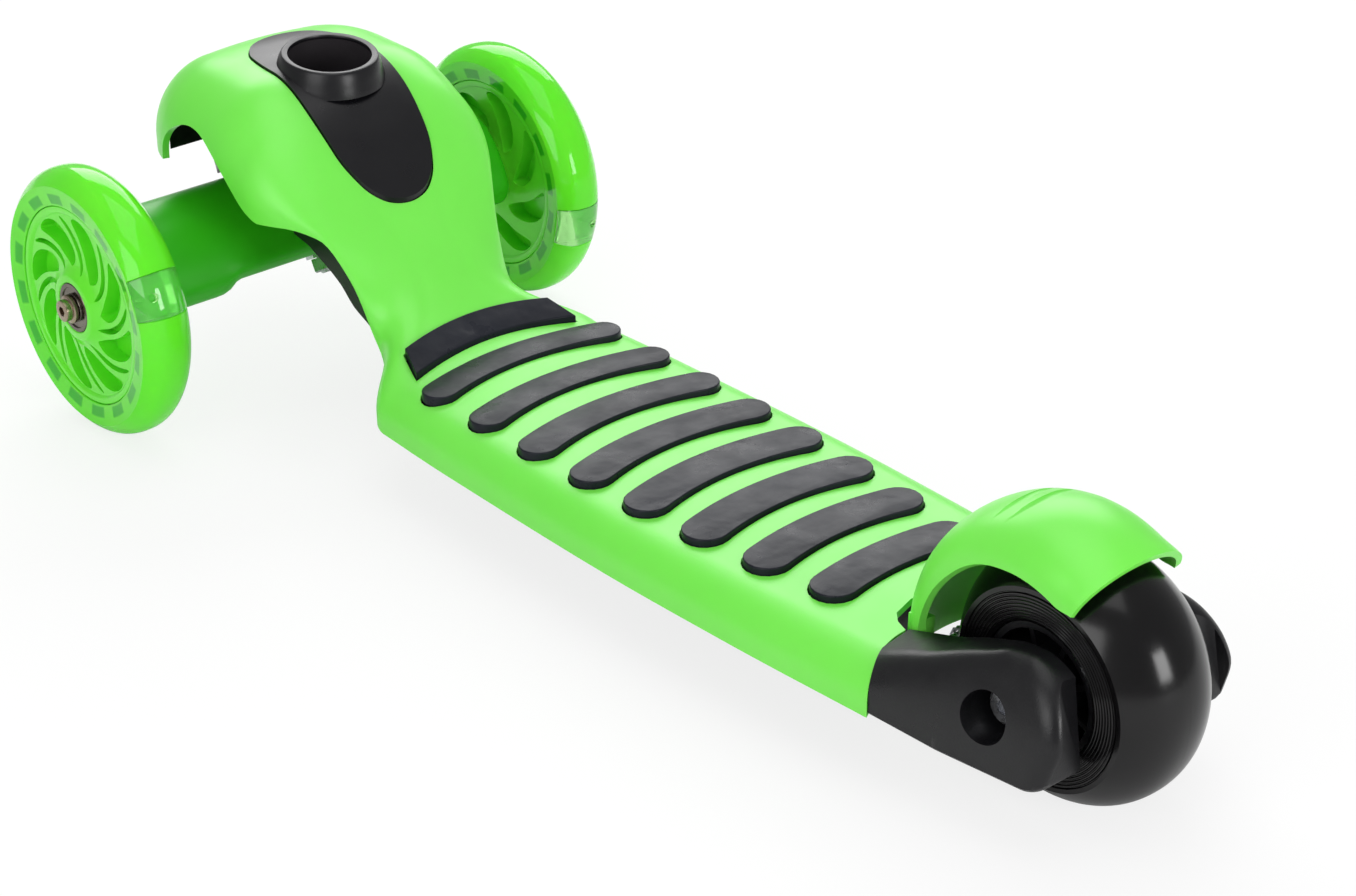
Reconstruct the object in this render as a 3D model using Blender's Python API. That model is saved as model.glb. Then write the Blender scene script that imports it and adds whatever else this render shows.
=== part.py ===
"""Base of a three-wheel kick scooter: moulded deck, lean-to-steer front axle, rear wheel and fender brake.

Metres, +Z up. The front is -Y and the rider's left is +X. The origin is on the ground under the middle.
"""

import math

import bmesh
import bpy
from mathutils import Matrix, Vector

# Wheels and axles
WHEELBASE = 0.4728
TRACK = 0.2218
FRONT_TYRE_RADIUS = 0.060
FRONT_TYRE_WIDTH = 0.024
REAR_TYRE_RADIUS = 0.050
REAR_TYRE_WIDTH = 0.050
BEARING_RADIUS = 0.011
BEARING_BORE = 0.0040
BEARING_WIDTH = 0.007
AXLE_CLEARANCE = 0.00009
BEARING_FIT = 0.00003
GAP = 0.0003

# Moulded cover
NOSE_REACH = 0.0620
NOSE_POWER = 2.2
HOOD_HALF_WIDTH = 0.0625
HOOD_TOP = 0.1470
HOOD_DEPTH = 0.0495
NOSE_LIFT = 0.0070
ARCH_BACK = 0.0005
ARCH_FORE = 0.0225
ARCH_REAR = 0.0500
ARCH_HEIGHT = 0.0287
WAIST_HALF_WIDTH = 0.0362
FLARE_HALF_WIDTH = 0.0596
DECK_HALF_WIDTH = 0.0636
TAIL_HALF_WIDTH = 0.0580
DECK_TOP = 0.0508
DECK_EDGE = 0.030
COVER_WALL = 0.003
COVER_CROWN = 0.0012
CORE_GAP = 0.0011

# Grip strips
STRIP_COUNT = 9
STRIP_NARROW = 0.0150
STRIP_WIDE = 0.0190
STRIP_HALF_LENGTH = 0.0510
STRIP_TAPER = 0.0125
STRIP_ARC_RADIUS = 0.135
STRIP_HEIGHT = 0.0018
STRIP_CHAMFER = 0.0006
SLOT_CLEARANCE = 0.0007
FIRST_STRIP_BACK = 0.1240
FIRST_STRIP_WIDTH = 0.0120
FIRST_STRIP_ARC_RADIUS = 0.150
FIRST_STRIP_FORE = 0.0380
FIRST_STRIP_REAR = 0.0425
SECOND_STRIP_BACK = 0.1468
LAST_STRIP_AHEAD = 0.0999

# Column socket
SOCKET_BACK = 0.0230
SOCKET_RISE = 0.0045
SOCKET_TILT = math.radians(6.0)
SOCKET_BORE = 0.0180
SLEEVE_WALL = 0.0022
SLEEVE_FOOT = 0.1040
KEY_DEPTH = 0.0012
TRIM_PROUD = 0.0011

# Steering
KINGPIN_TILT = math.radians(28.0)
KINGPIN_HEIGHT = 0.068
KINGPIN_RADIUS = 0.0040
BEAM_END_GAP = 0.0018
BOSS_FOOT = -0.0145
BOSS_HEAD = 0.0235
HEAD_HALF_WIDTH = 0.030
NECK_HALF_WIDTH = 0.0328
PIVOT_FACE = 0.030
PIVOT_HEAD = 0.055

# Rear fork and fender
FORK_GAP_HALF = 0.0280
FORK_END = 0.0265
FORK_END_HALF_WIDTH = 0.0485
FORK_END_TOP = 0.0725
FORK_FOOT = 0.0279
FORK_INSET = 0.0004
AXLE_RECESS_RADIUS = 0.0112
AXLE_RECESS_FLOOR = 0.0345
FENDER_HALF_WIDTH = 0.0277
FENDER_WALL = 0.0024
FENDER_HINGE_AHEAD = 0.0580
FENDER_HINGE_HEIGHT = 0.0365
FENDER_PIN_RADIUS = 0.0025
FENDER_END = 1.985
GROOVE_DEPTH = 0.0012
GROOVE_ANGLES = (1.11, 1.24)
GROOVE_HALF = 0.036
GROOVE_REACH = 0.0175
GROOVE_BOW = 0.075

# Wheel details
TYRE_DEPTH = 0.0158
HUB_RING_WALL = 0.0025
HUB_RING_HALF = 0.0100
FLANGE_RISE = 0.0070
FLANGE_HALF = 0.0080
WINDOW_RISE = 0.0036
WINDOW_COUNT = 16
SWIRL_COUNT = 8
SWIRL_TURN = math.radians(40.0)
WEB_HALF = 0.0018
LIGHT_ANGLES = {"left": math.radians(21.5), "right": math.radians(-11.0)}
LIGHT_HALF = math.radians(9.5)
LIGHT_DEPTH = 0.0070
LIGHT_WELL_OUT = 0.0050
TREAD_DROP = 0.0065
TREAD_POWER = 2.5
TREAD_STEPS = 6
REAR_HUB_RIM = 0.0254
REAR_FACE_HALF = 0.0231

# Tray and screws
POCKET_PITCH = 0.0600
POCKET_LENGTH = 0.0560
POCKET_FIRST = 0.1400
SCREW_X = 0.0345
SCREW_ROWS = (1, 3, 7)
SCREW_SEAT = 0.0400

# What follows from them
HOOD_EDGE = HOOD_TOP - HOOD_DEPTH
SOCKET_RIM = HOOD_TOP + SOCKET_RISE
SLEEVE_DEPTH = SOCKET_RIM - SLEEVE_FOOT
SLEEVE_RADIUS = SOCKET_BORE + SLEEVE_WALL
BUSH_TOP = PIVOT_FACE - 3 * GAP
WHEEL_HUB_HALF = FRONT_TYRE_WIDTH / 2 + 0.0010
BEAM_END = TRACK / 2 - WHEEL_HUB_HALF - BEAM_END_GAP
HUB_RING_OUTER = FRONT_TYRE_RADIUS - TYRE_DEPTH
HUB_RING_INNER = HUB_RING_OUTER - HUB_RING_WALL
FLANGE_OUTER = HUB_RING_OUTER + FLANGE_RISE
WINDOW_MIDDLE = HUB_RING_OUTER + WINDOW_RISE
SWIRL_OUTER = HUB_RING_INNER - 0.0015
LIGHT_FLOOR = FRONT_TYRE_RADIUS - LIGHT_DEPTH
FENDER_MIDDLE = FENDER_HALF_WIDTH - FENDER_WALL / 2
STRIP_PITCH = (WHEELBASE - SECOND_STRIP_BACK - LAST_STRIP_AHEAD) / (STRIP_COUNT - 2)
BEYOND = WHEELBASE / 2
REAR_AXLE_Y = (WHEELBASE + NOSE_REACH - REAR_TYRE_RADIUS) / 2
FRONT_AXLE_Y = REAR_AXLE_Y - WHEELBASE

ROUND = 24
TYRE_ROUND = 28
SMALL_ROUND = 16
BORE_ROUND = 16
ROW_STEPS = 6

GREEN = ("green_moulding", (0.16, 0.80, 0.05, 1), 0.42, 0.0)
WHEEL_GREEN = ("wheel_green", (0.20, 0.83, 0.08, 1), 0.28, 0.0)
TYRE_GREEN = ("clear_green_tyre", (0.22, 0.86, 0.10, 1), 0.12, 0.0)
CLEAR = ("clear_insert", (0.55, 0.90, 0.50, 1), 0.08, 0.0)
BLACK = ("black_nylon", (0.018, 0.018, 0.020, 1), 0.50, 0.0)
RUBBER = ("grip_rubber", (0.035, 0.036, 0.042, 1), 0.70, 0.0)
GLOSS_BLACK = ("gloss_black", (0.010, 0.010, 0.011, 1), 0.22, 0.0)
STEEL = ("steel", (0.60, 0.60, 0.60, 1), 0.28, 1.0)
NICKEL = ("warm_nickel", (0.62, 0.50, 0.42, 1), 0.30, 1.0)
SPRING_STEEL = ("spring_steel", (0.42, 0.43, 0.45, 1), 0.35, 1.0)


def front(back):
    """A place measured back from the front axle."""
    return FRONT_AXLE_Y + back


def rear(back):
    """A place measured back from the rear axle."""
    return REAR_AXLE_Y + back


def mix(a, b, share):
    return a + (b - a) * share


def ease(share):
    """0 to 1 with a level start and end."""
    share = min(max(share, 0.0), 1.0)
    return (1 - math.cos(math.pi * share)) / 2


def smooth_curve(points):
    """A monotone cubic through (place, value) pairs, level beyond its ends."""
    places = [p for p, _ in points]
    values = [v for _, v in points]
    steps = [b - a for a, b in zip(places, places[1:])]
    slopes = [(b - a) / h for a, b, h in zip(values, values[1:], steps)]
    tangents = [slopes[0]]
    for a, b in zip(slopes, slopes[1:]):
        tangents.append(0.0 if a * b <= 0 else 2 * a * b / (a + b))
    tangents.append(slopes[-1])

    def value(place):
        if place <= places[0]:
            return values[0]
        if place >= places[-1]:
            return values[-1]
        i = max(k for k, start in enumerate(places[:-1]) if start <= place)
        h = steps[i]
        u = (place - places[i]) / h
        return (
            values[i] * (1 + 2 * u) * (1 - u) ** 2
            + tangents[i] * h * u * (1 - u) ** 2
            + values[i + 1] * u * u * (3 - 2 * u)
            + tangents[i + 1] * h * u * u * (u - 1)
        )

    return value


def material(finish):
    name, colour, roughness, metallic = finish
    found = bpy.data.materials.get(name)
    if found:
        return found
    made = bpy.data.materials.new(name)
    made.use_nodes = True
    shader = made.node_tree.nodes["Principled BSDF"]
    shader.inputs["Base Color"].default_value = colour
    shader.inputs["Roughness"].default_value = roughness
    shader.inputs["Metallic"].default_value = metallic
    made.diffuse_color = colour
    return made


def mesh_object(name, points, faces, finish=None, smooth=35):
    """A named object of these faces, turned to face out and shaded smooth below the given angle."""
    mesh = bpy.data.meshes.new(name)
    mesh.from_pydata([tuple(p) for p in points], [], faces)
    work = bmesh.new()
    work.from_mesh(mesh)
    bmesh.ops.remove_doubles(work, verts=work.verts, dist=0.000001)
    bmesh.ops.recalc_face_normals(work, faces=work.faces)
    work.to_mesh(mesh)
    work.free()
    made = bpy.data.objects.new(name, mesh)
    bpy.context.collection.objects.link(made)
    if finish:
        mesh.materials.append(material(finish))
        mesh.shade_smooth()
        mesh.set_sharp_from_angle(angle=math.radians(smooth))
    return made


def helper(name, points, faces):
    """A cutter or joiner, which is left out of the model itself."""
    made = mesh_object(name, points, faces)
    made.hide_render = True
    made.display_type = "WIRE"
    return made


def boolean(target, other, operation):
    step = target.modifiers.new(other.name, "BOOLEAN")
    step.operation = operation
    step.object = other
    step.solver = "EXACT"


def cut(target, *cutters):
    for cutter in cutters:
        boolean(target, cutter, "DIFFERENCE")


def join(target, *others):
    for other in others:
        boolean(target, other, "UNION")


def loft(rings):
    """Points and faces of a closed solid through rings of equal length, with flat ends."""
    count = len(rings[0])
    points = [p for ring in rings for p in ring]
    faces = []
    for i in range(len(rings) - 1):
        for j in range(count):
            k = (j + 1) % count
            faces.append((i * count + j, i * count + k, (i + 1) * count + k, (i + 1) * count + j))
    faces.append(tuple(range(count)))
    faces.append(tuple(range((len(rings) - 1) * count, len(rings) * count)))
    return points, faces


def prism(outline, low, high):
    """An outline in X and Y, drawn up from low to high."""
    return loft([[(x, y, z) for x, y in outline] for z in (low, high)])


def side_prism(outline, half_width):
    """An outline in Y and Z, drawn out to both sides of the middle."""
    return loft([[(x, y, z) for y, z in outline] for x in (-half_width, half_width)])


def circle(radius, count, centre=(0.0, 0.0), start=0.0):
    angles = [start + 2 * math.pi * i / count for i in range(count)]
    return [(centre[0] + radius * math.cos(a), centre[1] + radius * math.sin(a)) for a in angles]


def along(axis, distance, radius, angle):
    """A point of a turned shape: distance along its axis, then radius and angle about it."""
    if axis == "X":
        return (distance, radius * math.cos(angle), radius * math.sin(angle))
    return (radius * math.cos(angle), radius * math.sin(angle), distance)


def turned(profile, count=ROUND, axis="X", start=0.0, sweep=None):
    """A closed profile of (distance, radius) turned about an axis, all round or through a sweep."""
    steps = count if sweep is None else count + 1
    span = 2 * math.pi if sweep is None else sweep
    angles = [start + span * i / count for i in range(steps)]
    points = []
    index = []
    for distance, radius in profile:
        if radius < 1e-9:
            index.append([len(points)] * steps)
            points.append(along(axis, distance, 0.0, 0.0))
            continue
        index.append(list(range(len(points), len(points) + steps)))
        points += [along(axis, distance, radius, a) for a in angles]
    faces = []
    size = len(profile)
    for i in range(size):
        a, b = index[i], index[(i + 1) % size]
        if a[0] == a[1] and b[0] == b[1]:
            continue
        for j in range(count):
            k = (j + 1) % steps
            corners = [a[j], a[k], b[k], b[j]]
            faces.append(tuple(dict.fromkeys(corners)))
    if sweep is not None:
        faces.append(tuple(ring[0] for ring in index))
        faces.append(tuple(ring[-1] for ring in index))
    return points, faces


def rod(radius, low, high, count=SMALL_ROUND, axis="X", chamfer=0.0):
    """A round bar between two distances along its axis."""
    if not chamfer:
        return turned([(low, 0), (low, radius), (high, radius), (high, 0)], count, axis)
    tip = radius - chamfer
    outline = [(low, 0), (low, tip), (low + chamfer, radius), (high - chamfer, radius), (high, tip), (high, 0)]
    return turned(outline, count, axis)


def tube(inner, outer, low, high, count=SMALL_ROUND, axis="X"):
    return turned([(low, inner), (low, outer), (high, outer), (high, inner)], count, axis)


def placed(shape, matrix):
    points, faces = shape
    return [matrix @ Vector(p) for p in points], faces


# Frames of reference: the inclined kingpin and the leaning column socket, each with its axis along local Z
KINGPIN_FRAME = Matrix.Translation((0, FRONT_AXLE_Y, KINGPIN_HEIGHT)) @ Matrix.Rotation(KINGPIN_TILT, 4, "X")
SOCKET_FRAME = Matrix.Translation((0, front(SOCKET_BACK), SOCKET_RIM)) @ Matrix.Rotation(-SOCKET_TILT, 4, "X")


# The cover's form: values along its length
NOSE_START = front(-0.005)
ARCH_MIDDLE = front(ARCH_BACK)
half_width_of_deck = smooth_curve([
    (front(0.134), FLARE_HALF_WIDTH),
    (front(0.180), mix(FLARE_HALF_WIDTH, DECK_HALF_WIDTH, 0.55)),
    (mix(front(0), rear(0), 0.60), DECK_HALF_WIDTH),
    (rear(-0.120), mix(DECK_HALF_WIDTH, TAIL_HALF_WIDTH, 0.30)),
    (rear(-0.045), TAIL_HALF_WIDTH),
])
edge_height = smooth_curve([
    (front(-0.022), HOOD_EDGE + NOSE_LIFT),
    (front(0.020), HOOD_EDGE),
    (front(0.062), HOOD_EDGE),
    (front(0.075), mix(HOOD_EDGE, DECK_EDGE, 0.05)),
    (front(0.087), mix(HOOD_EDGE, DECK_EDGE, 0.30)),
    (front(0.099), mix(HOOD_EDGE, DECK_EDGE, 0.67)),
    (front(0.110), mix(HOOD_EDGE, DECK_EDGE, 0.85)),
    (front(0.123), mix(HOOD_EDGE, DECK_EDGE, 0.955)),
    (front(0.134), DECK_EDGE),
])
shoulder_width = smooth_curve([(front(0.040), 0.036), (front(0.101), 0.024), (front(0.145), 0.017)])
shoulder_height = smooth_curve([(front(0.040), 0.034), (front(0.101), 0.020), (front(0.145), 0.014)])


def half_width(y):
    back = y - FRONT_AXLE_Y
    if back < 0.101:
        return mix(HOOD_HALF_WIDTH, WAIST_HALF_WIDTH, ease((back - 0.040) / 0.061))
    if back < 0.134:
        return mix(WAIST_HALF_WIDTH, FLARE_HALF_WIDTH, ease((back - 0.101) / 0.033))
    return half_width_of_deck(y)


def crest(y):
    return mix(HOOD_TOP, DECK_TOP, ease((y - front(0.015)) / 0.128))


def lower_edge(y):
    """Height of the cover's edge, which arches up over the axle."""
    back = y - ARCH_MIDDLE
    rise = 0.0
    if -ARCH_FORE < back <= 0:
        rise = math.sqrt(1 - (back / ARCH_FORE) ** 2)
    elif 0 < back < ARCH_REAR:
        rise = math.cos(math.pi / 2 * back / ARCH_REAR) ** 1.3
    return mix(edge_height(y), HOOD_EDGE + ARCH_HEIGHT, rise)


def slope(curve, y):
    step = 0.001
    return (curve(y + step) - curve(y - step)) / (2 * step)


def evenly(line, count):
    """The points that divide a line of points into equal lengths."""
    lengths = [0.0]
    for a, b in zip(line, line[1:]):
        lengths.append(lengths[-1] + math.dist(a, b))
    found = []
    for i in range(count + 1):
        goal = lengths[-1] * i / count
        k = next(k for k in range(1, len(line)) if lengths[k] >= goal - 1e-9)
        share = (goal - lengths[k - 1]) / (lengths[k] - lengths[k - 1])
        found.append(tuple(mix(a, b, share) for a, b in zip(line[k - 1], line[k])))
    return found


def cover_row(y, inset, edge=None):
    """One cross-section of the cover's surface, from its left edge over the crest to its right edge."""
    low = lower_edge(y) if edge is None else edge
    if y < NOSE_START:
        reach = NOSE_REACH - (FRONT_AXLE_Y - NOSE_START)
        share = (NOSE_START - y) / reach
        scale = max(1 - share**NOSE_POWER, 0.0) ** (1 / NOSE_POWER)
        place = NOSE_START - share * (reach - inset)
        wide = (HOOD_HALF_WIDTH - inset) * scale
        high = mix(edge_height(y), HOOD_TOP - inset, scale)
        round_x = (shoulder_width(y) - inset) * scale
        round_z = (shoulder_height(y) - inset) * scale
    else:
        scale = 1.0
        place = y
        wide = half_width(y) - inset * math.hypot(1, slope(half_width, y))
        high = crest(y) - inset * math.hypot(1, slope(crest, y))
        round_x = shoulder_width(y) - inset
        round_z = min(shoulder_height(y), 0.8 * (crest(y) - edge_height(y))) - inset
    crown = COVER_CROWN * scale
    flat = wide - round_x
    shoulder = high - crown - round_z
    start = math.asin(min(max(low - shoulder, 0.0) / round_z, 1.0)) if round_z > 0 else math.pi / 2
    fine = [(wide, low)] if low < shoulder else []
    for i in range(4 * ROW_STEPS + 1):
        angle = mix(start, math.pi / 2, i / (4 * ROW_STEPS))
        fine.append((flat + round_x * math.cos(angle), shoulder + round_z * math.sin(angle)))
    half = evenly(fine, ROW_STEPS)
    half.append((flat / 2, high - crown / 4))
    left = [(x, place, z) for x, z in half]
    right = [(-x, place, z) for x, z in reversed(half)]
    return left + [(0.0, place, high)] + right


def shell(rows, outer_inset, inner_inset):
    """A closed sheet between two insets of the cover's surface."""
    outer = [cover_row(y, outer_inset) for y in rows]
    inner = [cover_row(y, inner_inset) for y in rows]
    count = len(outer[0])
    points = [p for row in outer + inner for p in row]
    under = len(rows) * count
    faces = []
    for i in range(len(rows) - 1):
        for j in range(count - 1):
            a = i * count + j
            quad = (a, a + 1, a + count + 1, a + count)
            faces.append(quad)
            faces.append(tuple(under + v for v in reversed(quad)))
        for j in (0, count - 1):
            a = i * count + j
            faces.append((a, a + count, under + a + count, under + a))
    return points, faces, count, under


def cover_rows():
    """Places of the cover's cross-sections, close together where its form turns quickly."""
    scales = (0.20, 0.46, 0.66, 0.80, 0.89, 0.95)
    reach = NOSE_REACH - (FRONT_AXLE_Y - NOSE_START)
    rows = [NOSE_START - reach * (1 - s**NOSE_POWER) ** (1 / NOSE_POWER) for s in scales]
    rows += [ARCH_MIDDLE - ARCH_FORE * math.cos(math.pi * i / 10) for i in range(6)]
    rows += [ARCH_MIDDLE + ARCH_REAR * i / 7 for i in range(1, 8)]
    rows += [front(0.0580 + 0.0085 * i) for i in range(11)]
    first, last = front(0.155), rear(-0.060)
    rows += [mix(first, last, i / 4) for i in range(5)]
    rows += [rear(-0.044)]
    return rows


def strip_place(index):
    """Middle of one grip strip, on the centre line."""
    if index == 0:
        return front(FIRST_STRIP_BACK)
    return front(SECOND_STRIP_BACK + STRIP_PITCH * (index - 1))


def strip_width(index):
    if index == 0:
        return FIRST_STRIP_WIDTH
    return mix(STRIP_NARROW, STRIP_WIDE, min((index - 1) / 4, 1.0))


def strip_half_length(index):
    return STRIP_HALF_LENGTH - STRIP_TAPER * (index / (STRIP_COUNT - 1)) ** 3.8


def strip_outline(index, grow=0.0):
    """Plan of a grip strip: a bowed bar with round ends, or slanting flat ends on the first one."""
    middle = strip_place(index)
    half = strip_width(index) / 2 + grow
    if index == 0:
        centre = middle + FIRST_STRIP_ARC_RADIUS
        inner, outer = FIRST_STRIP_ARC_RADIUS - half, FIRST_STRIP_ARC_RADIUS + half
        rear_angle = math.asin((FIRST_STRIP_REAR + grow) / inner)
        fore_angle = math.asin((FIRST_STRIP_FORE + grow) / outer)
        spread = [mix(-1, 1, i / 4) for i in range(5)]
        fore = [(outer * math.sin(fore_angle * s), centre - outer * math.cos(fore_angle * s)) for s in spread]
        back = [(inner * math.sin(rear_angle * s), centre - inner * math.cos(rear_angle * s)) for s in spread]
        return fore + back[::-1]
    centre = middle + STRIP_ARC_RADIUS
    inner, outer = STRIP_ARC_RADIUS - half, STRIP_ARC_RADIUS + half
    angle = math.asin((strip_half_length(index) - strip_width(index) / 2) / STRIP_ARC_RADIUS)
    outline = []
    for side, radius in ((1, outer), (-1, inner)):
        for i in range(6):
            a = side * mix(-angle, angle, i / 5)
            outline.append((radius * math.sin(a), centre - radius * math.cos(a)))
        tip = (STRIP_ARC_RADIUS * math.sin(side * angle), centre - STRIP_ARC_RADIUS * math.cos(side * angle))
        first = side * (angle - math.pi / 2) if side == 1 else math.pi / 2 - angle
        for i in range(1, 4):
            a = first + math.pi * i / 4
            outline.append((tip[0] + half * math.cos(a), tip[1] + half * math.sin(a)))
    return outline


def inset_outline(outline, distance):
    """A closed outline moved inwards by a distance at each corner."""
    area = sum(a[0] * b[1] - b[0] * a[1] for a, b in zip(outline, outline[1:] + outline[:1]))
    sign = 1 if area > 0 else -1
    moved = []
    for i, point in enumerate(outline):
        before = Vector(outline[i - 1])
        after = Vector(outline[(i + 1) % len(outline)])
        here = Vector(point)
        first = (here - before).normalized()
        second = (after - here).normalized()
        normals = [Vector((-d.y, d.x)) * sign for d in (first, second)]
        bisector = (normals[0] + normals[1]).normalized()
        moved.append(tuple(here + bisector * distance / max(bisector.dot(normals[0]), 0.5)))
    return moved


def add_grip_strips():
    low = 0.0006 - COVER_WALL
    high = STRIP_HEIGHT
    for index in range(STRIP_COUNT):
        outline = strip_outline(index)
        top = inset_outline(outline, STRIP_CHAMFER)
        rings = [
            [(x, y, crest(y) + low) for x, y in outline],
            [(x, y, crest(y) + high - STRIP_CHAMFER) for x, y in outline],
            [(x, y, crest(y) + high) for x, y in top],
        ]
        mesh_object(f"grip_strip_{index + 1}", *loft(rings), RUBBER, smooth=30)


def trim_outline(grow=0.0):
    """Plan of the socket's teardrop plate."""
    half = smooth_curve([
        (front(-0.0215), 0.0),
        (front(-0.0195), 0.0095),
        (front(-0.0145), 0.0165),
        (front(-0.0040), 0.0225),
        (front(0.0150), 0.0248),
        (front(0.0400), 0.0255),
        (front(0.0580), 0.0238),
        (front(0.0690), 0.0188),
        (front(0.0755), 0.0112),
        (front(0.0780), 0.0),
    ])
    first, last = front(-0.0215), front(0.0780)
    count = 12
    places = [mix(first, last, (1 - math.cos(math.pi * i / count)) / 2) for i in range(count + 1)]
    right = [(half(y), y) for y in places]
    left = [(-half(y), y) for y in reversed(places[1:-1])]
    return inset_outline(right + left, -grow) if grow else right + left


def tail_outline():
    """Plan of everything behind the cover's rear edge, with its notch ahead of the fender."""
    side = 0.090
    points = [(side, rear(-0.0475)), (side, rear(0.120)), (-side, rear(0.120)), (-side, rear(-0.0475))]
    left = []
    for share in (0.0, 0.25, 0.5, 0.75, 1.0):
        x = mix(TAIL_HALF_WIDTH + 0.002, FORK_GAP_HALF + 0.0015, share)
        left.append((-x, rear(mix(-0.0475, -0.0590, math.sin(share * math.pi / 2)))))
    notch = [(-x, rear(y)) for x, y in ((0.0275, -0.0650), (0.0238, -0.0695), (0.0135, -0.0728))]
    half = left + notch
    return points + half + [(0.0, rear(-0.0740))] + [(-x, y) for x, y in reversed(half)]


def add_cover():
    rows = cover_rows()
    points, faces, count, under = shell(rows, 0.0, COVER_WALL)
    last = (len(rows) - 1) * count
    for j in range(count - 1):
        faces.append((last + j, last + j + 1, under + last + j + 1, under + last + j))
    faces.append(tuple(range(count)))
    faces.append(tuple(under + v for v in range(count)))
    faces.append((0, count - 1, under + count - 1, under))
    cover = mesh_object("deck_cover", points, faces, GREEN, smooth=50)
    for index in range(STRIP_COUNT):
        outline = strip_outline(index, SLOT_CLEARANCE)
        slot = helper(f"slot_{index + 1}", *prism(outline, DECK_TOP - 0.012, DECK_TOP + 0.020))
        cut(cover, slot)
    cut(cover, helper("trim_opening", *prism(trim_outline(GAP + 0.0001), SLEEVE_FOOT / 2, BEYOND)))
    cut(cover, helper("cover_tail", *prism(tail_outline(), 0.0, BEYOND)))
    return cover


def merged(*shapes):
    """Several separate shapes as one list of points and faces, for one Boolean."""
    points = []
    faces = []
    for more_points, more_faces in shapes:
        start = len(points)
        points += more_points
        faces += [tuple(start + v for v in face) for face in more_faces]
    return points, faces


def core_row(y, edge, limit, ceiling):
    """A cross-section of the black moulding that fills the cover, held inside a width and a height."""
    row = cover_row(y, COVER_WALL + CORE_GAP, edge)
    held = []
    for x, place, z in row:
        x = min(max(x, -limit), limit)
        z = min(z, ceiling)
        held.append((x, place, z))
    return held


core_edge = smooth_curve([
    (front(0.047), 0.0780),
    (front(0.069), 0.0680),
    (front(0.079), 0.0600),
    (front(0.090), 0.0550),
    (front(0.1228), DECK_EDGE + 0.0006),
])
core_limit = smooth_curve([(front(0.100), NECK_HALF_WIDTH), (front(0.128), 0.062)])


def kingpin_point(distance, ahead=0.0):
    """Y and Z of a point along the kingpin, and a little ahead of it."""
    place = KINGPIN_FRAME @ Vector((0, -ahead, distance))
    return place.y, place.z


def cover_end(x):
    """The cover's rear edge, curving forward towards the fork."""
    share = (TAIL_HALF_WIDTH + 0.002 - abs(x)) / (TAIL_HALF_WIDTH + 0.0005 - FORK_GAP_HALF)
    return rear(mix(-0.0475, -0.0590, math.sin(min(max(share, 0), 1) * math.pi / 2)))


rear_end = smooth_curve([
    (FORK_FOOT, rear(FORK_END - 0.0020)),
    (mix(FORK_FOOT, FORK_END_TOP, 0.22), rear(FORK_END + 0.0012)),
    (mix(FORK_FOOT, FORK_END_TOP, 0.46), rear(FORK_END + 0.0038)),
    (mix(FORK_FOOT, FORK_END_TOP, 0.64), rear(FORK_END + 0.0018)),
    (mix(FORK_FOOT, FORK_END_TOP, 0.87), rear(FORK_END - 0.0045)),
    (FORK_END_TOP, rear(FORK_END - 0.0115)),
])
fork_foot = smooth_curve([(rear(-0.050), DECK_EDGE), (rear(-0.020), FORK_FOOT)])


def fork_ring(side, low_place, outer, top, middle, height, share, shrink=0.0, start=False):
    """One cross-section of a fork arm: a flat inner face and a rounded outer shoulder."""
    foot = fork_foot(low_place) + shrink
    ring = [(FORK_GAP_HALF, foot), (outer - shrink - 0.0020, foot), (outer - shrink, foot + 0.0020)]
    wide = outer - shrink - middle
    for i in range(6):
        angle = math.pi / 2 * i / 5
        ring.append((middle + wide * math.cos(angle), height + (top - shrink - height) * math.sin(angle)))
    ring.append((FORK_GAP_HALF, top - shrink - 0.0004))
    points = []
    for x, z in ring:
        place = low_place + share * (rear_end(z) - rear(FORK_END))
        points.append((side * x, cover_end(x) + GAP + 0.0001 if start else place, z))
    return points


def fork_arm(side):
    top = smooth_curve([
        (rear(-0.059), DECK_TOP + 0.0002),
        (rear(-0.036), mix(DECK_TOP, FORK_END_TOP, 0.33)),
        (rear(-0.013), mix(DECK_TOP, FORK_END_TOP, 0.76)),
        (rear(0.005), mix(DECK_TOP, FORK_END_TOP, 0.95)),
        (rear(0.020), FORK_END_TOP),
    ])
    outer = smooth_curve([
        (rear(-0.050), TAIL_HALF_WIDTH - FORK_INSET),
        (rear(-0.020), mix(TAIL_HALF_WIDTH, FORK_END_HALF_WIDTH, 0.42)),
        (rear(FORK_END), FORK_END_HALF_WIDTH),
    ])
    first = rear(-0.050)
    rings = [fork_ring(side, first, outer(first), DECK_TOP - 0.0003, 0.044, 0.037, 0, start=True)]
    for back in (-0.042, -0.030, -0.018, -0.006, 0.006, 0.018):
        y = rear(back)
        share = ease((back + 0.050) / 0.075)
        slant = ease((back + 0.020) / 0.040)
        middle = mix(0.044, 0.033, share)
        rings.append(fork_ring(side, y, outer(y), top(y), middle, mix(0.037, 0.033, share), slant))
    for short, shrink in ((0.0045, 0.0006), (0.0016, 0.0019), (0.0, 0.0044)):
        y = rear(FORK_END - short)
        rings.append(fork_ring(side, y, outer(y), top(y), 0.033, 0.033, 1.0, shrink))
    return loft(rings)


SCREW_PLACES = [
    (side * SCREW_X, front(SECOND_STRIP_BACK + SCREW_X**2 / 2 / STRIP_ARC_RADIUS + (row - 0.5) * STRIP_PITCH))
    for row in SCREW_ROWS
    for side in (1, -1)
]


def upright(shape, x, y, z=0.0):
    return placed(shape, Matrix.Translation((x, y, z)))


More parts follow.
